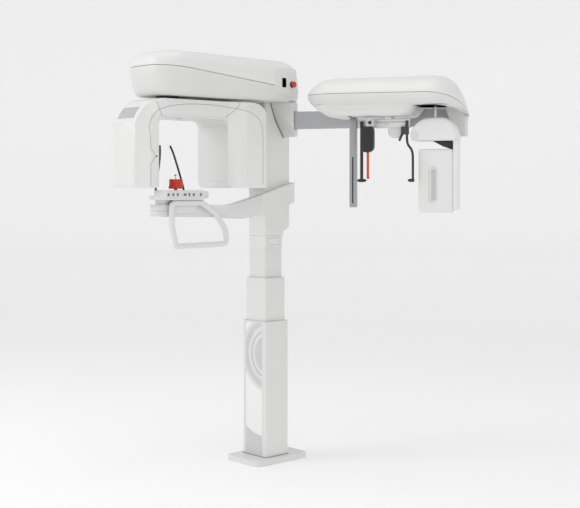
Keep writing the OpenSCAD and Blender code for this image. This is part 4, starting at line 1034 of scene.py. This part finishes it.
# %% Collimator and head positioner
bm = bmesh.new()
block(bm, (0.399, -0.232, 1.316), (0.433, -0.208, 1.749), on_bar)
block(bm, (0.407, -0.232, 1.742), (0.425, -0.208, 1.759), on_bar)
block(bm, (0.392, -0.234, 1.7575), (0.440, -0.206, 1.7693), on_bar)
piece("ceph_collimator_blade", bm, "ceph_collimator", anodised, ("ceph_collimator",),
    edge=0.0022)
bm = bmesh.new()
block(bm, (0.4125, -0.2326, 1.335), (0.4195, -0.2315, 1.560), on_bar)
piece("collimator_slit", bm, "ceph_collimator", dark_steel, (), edge=0.0002)

rail = as_object("head_rail", lofted(box_corners(0.445, -0.240, 0.700, -0.200, 0.010),
    [(0.004, 1.6980), (0.001, 1.6988), (0, 1.7010), (0, 1.7360), (0.001, 1.7382), (0.004, 1.7390)], ceph,
    (True, True)))
bm = bmesh.new()
block(bm, (0.452, -0.246, 1.7225), (0.693, -0.2345, 1.7275), on_bar)
piece("head_rail", rail, "head_positioner", moulded_abs_painted_shade, ("head_positioner",), tools=[tool(bm)],
    keep=True)
bm = bmesh.new()
turned(bm, [(1.7385, 0), (1.7385, 0.026), (1.7505, 0.026), (1.7515, 0.025), (1.7515, 0.0098),
    (1.7556, 0.0098), (1.7556, 0.018), (1.7603, 0.018), (1.7603, 0)],
       ceph(*turn_pin, 0), (0, 0, 1), (1, 0, 0))
piece("head_turntable", bm, "head_positioner", moulded_abs_painted_shade, ())
piece("head_rail_lug", lofted([(0.592, 1.648, 0.034), (0.668, 1.648, 0.034), (0.668, 1.700, 0.002),
    (0.592, 1.700, 0.002)], [(0.003, -0.232), (0, -0.229), (0, -0.207), (0.003, -0.204)], ceph_side,
    (True, True)), "head_positioner", moulded_abs_painted_shade, ())
bm = bmesh.new()
turned(bm, [(0, 0.0068), (0.003, 0.0068), (0.0045, 0.0055), (0.0045, 0)], ceph(0.590, -0.2395, 1.712),
    on_bar.to_3x3() @ Vector((0, -1, 0)), (0, 0, 1), 32)
piece("head_rail_knob", bm, "head_positioner", decor_pale, ())

# %% Ear arms
bm = bmesh.new()
loft(bm, box_corners(0.4585, -0.2523, 0.4725, -0.2403, 0.003),
    [(0.002, 1.4400), (0, 1.4425), (0, 1.6200), (-0.0, 1.7290), (0.001, 1.7310)], ceph, (True, True), 5)
along = on_bar.to_3x3() @ Vector((1, 0, 0))
turned(bm, [(0, 0), (0, 0.0040), (0.0030, 0.0062), (0.0090, 0.0078), (0.0140, 0.0080), (0.030, 0.0080),
    (0.036, 0.0072), (0.040, 0.0050), (0.0445, 0.0030), (0.045, 0)],
       ceph(0.4445, -0.2463, 1.446), along, (0, 0, 1), 32)
piece("ear_arm_left_moulding", bm, "ear_left", black_nylon, ("ear_arm_left",))
bm = bmesh.new()
block(bm, (0.6600, -0.2523, 1.664), (0.6980, -0.2403, 1.702), on_bar)
block(bm, (0.6815, -0.2523, 1.690), (0.6955, -0.2403, 1.731), on_bar)
holder = as_object("holder", bm)
soft = holder.modifiers.new("radius", "BEVEL")
soft.width = 0.002
bake(holder)
bm = bmesh.new()
bm.from_mesh(holder.data)
bpy.data.objects.remove(holder)
path = [(0.6885, 1.672), (0.6885, 1.650), (0.6890, 1.628), (0.6960, 1.610), (0.7090, 1.598),
    (0.7165, 1.578), (0.7175, 1.550), (0.7175, 1.500), (0.7175, 1.446)]
tube(bm, [ceph(u, -0.2463, z) for u, z in path], 0.0058, smooth=True)
turned(bm, [(0, 0), (0, 0.0034), (0.0035, 0.0060), (0.0080, 0.0080), (0.018, 0.0080), (0.026, 0.0078),
    (0.0305, 0.0062), (0.031, 0)],
       ceph(0.6935, -0.2463, 1.446), along, (0, 0, 1), 32)
piece("ear_arm_right_moulding", bm, "ear_right", black_nylon, ("ear_arm_right",))
bm = bmesh.new()
rod(bm, ceph(0.6680, -0.2463, 1.672), ceph(0.6510, -0.2463, 1.634), 0.0062, 0.0055, 24)
piece("ear_arm_lever", bm, "ear_right", dark_steel, (), edge=0.001)

# %% [markdown]
# The nasion rod is a red bar that slides in a black rounded housing. A grey clamp holds the housing
# to the rail.

# %% Nasion rod and its holder
piece("nasion_housing", lofted([(0.4700, 1.580, 0.026), (0.5340, 1.580, 0.030), (0.5340, 1.706, 0.024),
    (0.4700, 1.706, 0.026)], [(0.006, -0.2848), (0.002, -0.2838), (0, -0.2810), (0, -0.2590),
    (0.002, -0.2562), (0.006, -0.2552)], ceph_side, (True, True)), "head_positioner", black_nylon,
    ("nasion_holder",),
      tools=[rod_tool(ceph(*nasion_axis, 1.57), ceph(*nasion_axis, 1.66), 0.0063)])
bm = bmesh.new()
block(bm, (0.499, -0.284, 1.7045), (0.535, -0.256, 1.7385), on_bar)
block(bm, (0.499, -0.258, 1.7325), (0.535, -0.238, 1.7385), on_bar)
piece("nasion_clamp", bm, "head_positioner", decor_grey, (), edge=0.0012)
bm = bmesh.new()
turned(bm, [(0, 0.0085), (0.004, 0.0085), (0.006, 0.0070), (0.006, 0)], ceph(0.517, -0.2835, 1.722),
    on_bar.to_3x3() @ Vector((0, -1, 0)), (0, 0, 1), 32)
piece("nasion_clamp_knob", bm, "head_positioner", black_nylon, ())
bm = bmesh.new()
turned(bm, [(1.4530, 0), (1.4530, 0.0050), (1.4540, 0.0060), (1.6220, 0.0060), (1.6230, 0.0052),
    (1.6230, 0)], ceph(*nasion_axis, 0), (0, 0, 1), (1, 0, 0), 32)
turned(bm, [(-0.004, 0), (-0.004, 0.0050), (0.009, 0.0042), (0.0125, 0.0050), (0.014, 0.0040), (0.014, 0)],
    ceph(*nasion_axis, 1.459), on_bar.to_3x3() @ Vector((0, 1, 0)), (0, 0, 1), 24)
piece("nasion_rod_moulding", bm, "nasion", red_silicone, ("nasion_rod",))

# %% [markdown]
# The sensor arm is a smooth dome with a spine behind the cassette. The dome's section shrinks
# towards both faces along a quarter circle, which gives it its helmet shape.

# %% Sensor arm and cassette
bm = bmesh.new()
dome = [(0.704, 1.632, 0.020), (0.926, 1.632, 0.016), (0.926, 1.744, 0.085), (0.704, 1.744, 0.096)]
levels = [(0.020, -0.2500), (0.011, -0.2488), (0.0055, -0.2460), (0.002, -0.2415), (0.0004, -0.2340),
    (0, -0.2250)]
levels += [(t, -0.400 - v) for t, v in reversed(levels)]
loft(bm, dome, levels, ceph_side, (True, True), 14)
under = bmesh.new()
block(under, (0.737, -0.232, 1.62), (0.900, -0.168, 1.640), on_bar)
piece("sensor_dome", bm, "ceph_sensor", moulded_abs_painted_lit, ("sensor_arm",),
    tools=[tool(under)], angle=40)
bm = bmesh.new()
spine = [(0.9055, 1.306, 0.004), (0.9280, 1.306, 0.010), (0.9300, 1.660, 0.002), (0.9055, 1.660, 0.002)]
loft(bm, spine, [(0.006, -0.2300), (0.002, -0.2290), (0, -0.2260), (0, -0.1740), (0.002, -0.1710),
    (0.006, -0.1700)], ceph_side, (True, True))
piece("sensor_spine", bm, "ceph_sensor", moulded_abs_painted_lit, ())
bm = bmesh.new()
cap = [(0.7160, 1.6400, 0.004), (0.7400, 1.6400, 0.004), (0.7480, 1.6640, 0.010), (0.7330, 1.6830, 0.006),
    (0.7180, 1.6660, 0.006)]
loft(bm, cap, [(0, -0.2482), (0, -0.2506), (0.0006, -0.2510)], ceph_side, (True, True))
piece("sensor_dome_cap", bm, "ceph_sensor", decor_pale, ())

bm = bmesh.new()
cassette = box_corners(0.737, 1.294, 0.9049, 1.594, 0.014)
levels = [(0.010, -0.2220), (0.005, -0.2214), (0.0018, -0.2195), (0.0003, -0.2160), (0, -0.2110)]
levels += [(t, -0.400 - v) for t, v in reversed(levels)]
loft(bm, cassette, levels, ceph_side, (True, True), 8)
scoop = bmesh.new()
loft(scoop, box_corners(0.783, 1.336, 0.833, 1.512, 0.0245),
     [(-0.004, -0.2300), (-0.0025, -0.2222), (0.0005, -0.2205), (0.0025, -0.2150), (0.006, -0.2100),
     (0.011, -0.2072), (0.018, -0.2060)], ceph_side, (True, True), 12)
piece("sensor_cassette_moulding", bm, "ceph_sensor", moulded_abs_painted_lit, ("sensor_cassette",),
    tools=[tool(scoop)], angle=40)
# A dark band round the cassette's edge: painted shade of its seam.
piece("cassette_seam_shade", lofted(cassette, [(0.0004, -0.2052), (-0.0004, -0.2050), (-0.0004, -0.2032),
    (0.0004, -0.2030), (0.0004, -0.2052)], ceph_side), "ceph_sensor", seam_shade_and_print_grey, ())

piece("cassette_hanger", lofted([(0.795, 1.638, 0.001), (0.855, 1.606, 0.030), (0.907, 1.588, 0.002),
    (0.907, 1.640, 0.002)], [(0, -0.2140), (0, -0.1860)], ceph_side, (True, True)), "ceph_sensor",
    black_nylon, (), edge=0.001)
bm = bmesh.new()
block(bm, (0.9040, -0.2160, 1.330), (0.9062, -0.1840, 1.596), on_bar)
piece("cassette_joint_strip", bm, "ceph_sensor", black_nylon, (), edge=0.0005)
# A grey pad at the bottom of the grip recess: painted shade in the recess.
piece("cassette_grip_recess_shade", lofted(box_corners(0.7855, 1.3385, 0.8305, 1.5095, 0.0215),
    [(0.012, -0.2064), (0.012, -0.2078), (0.0125, -0.2080)], ceph_side, (True, True), 12), "ceph_sensor",
    decor_grey, ())

# %% [markdown]
# ## Frame parts that keep their CAD shape
# Steel, motors and guides inside the covers are machined shapes already. They keep their meshes and
# get the finish of the real part.

# %% Finishes on kept parts
kept = {dark_steel: ["base_plate", "carriage_frame", "overhead_frame", "arm_frame", "gantry_carriage",
    "lift_motor_lower", "lift_motor_upper", "xray_tube_head", "beam_collimator"],
        polished_steel: ["lift_spindle_lower", "lift_spindle_upper", "gantry_rails", "rotation_bearing",
        "sensor_carriage"],
        white_acetal: ["glide_pads_lower", "glide_pads_upper"], black_nylon: ["flat_panel_detector"]}
for material, names in kept.items():
    for name in names:
        nodes[name].data.materials.clear()
        nodes[name].data.materials.append(material)
print("kept CAD parts:", sum(len(names) for names in kept.values()))
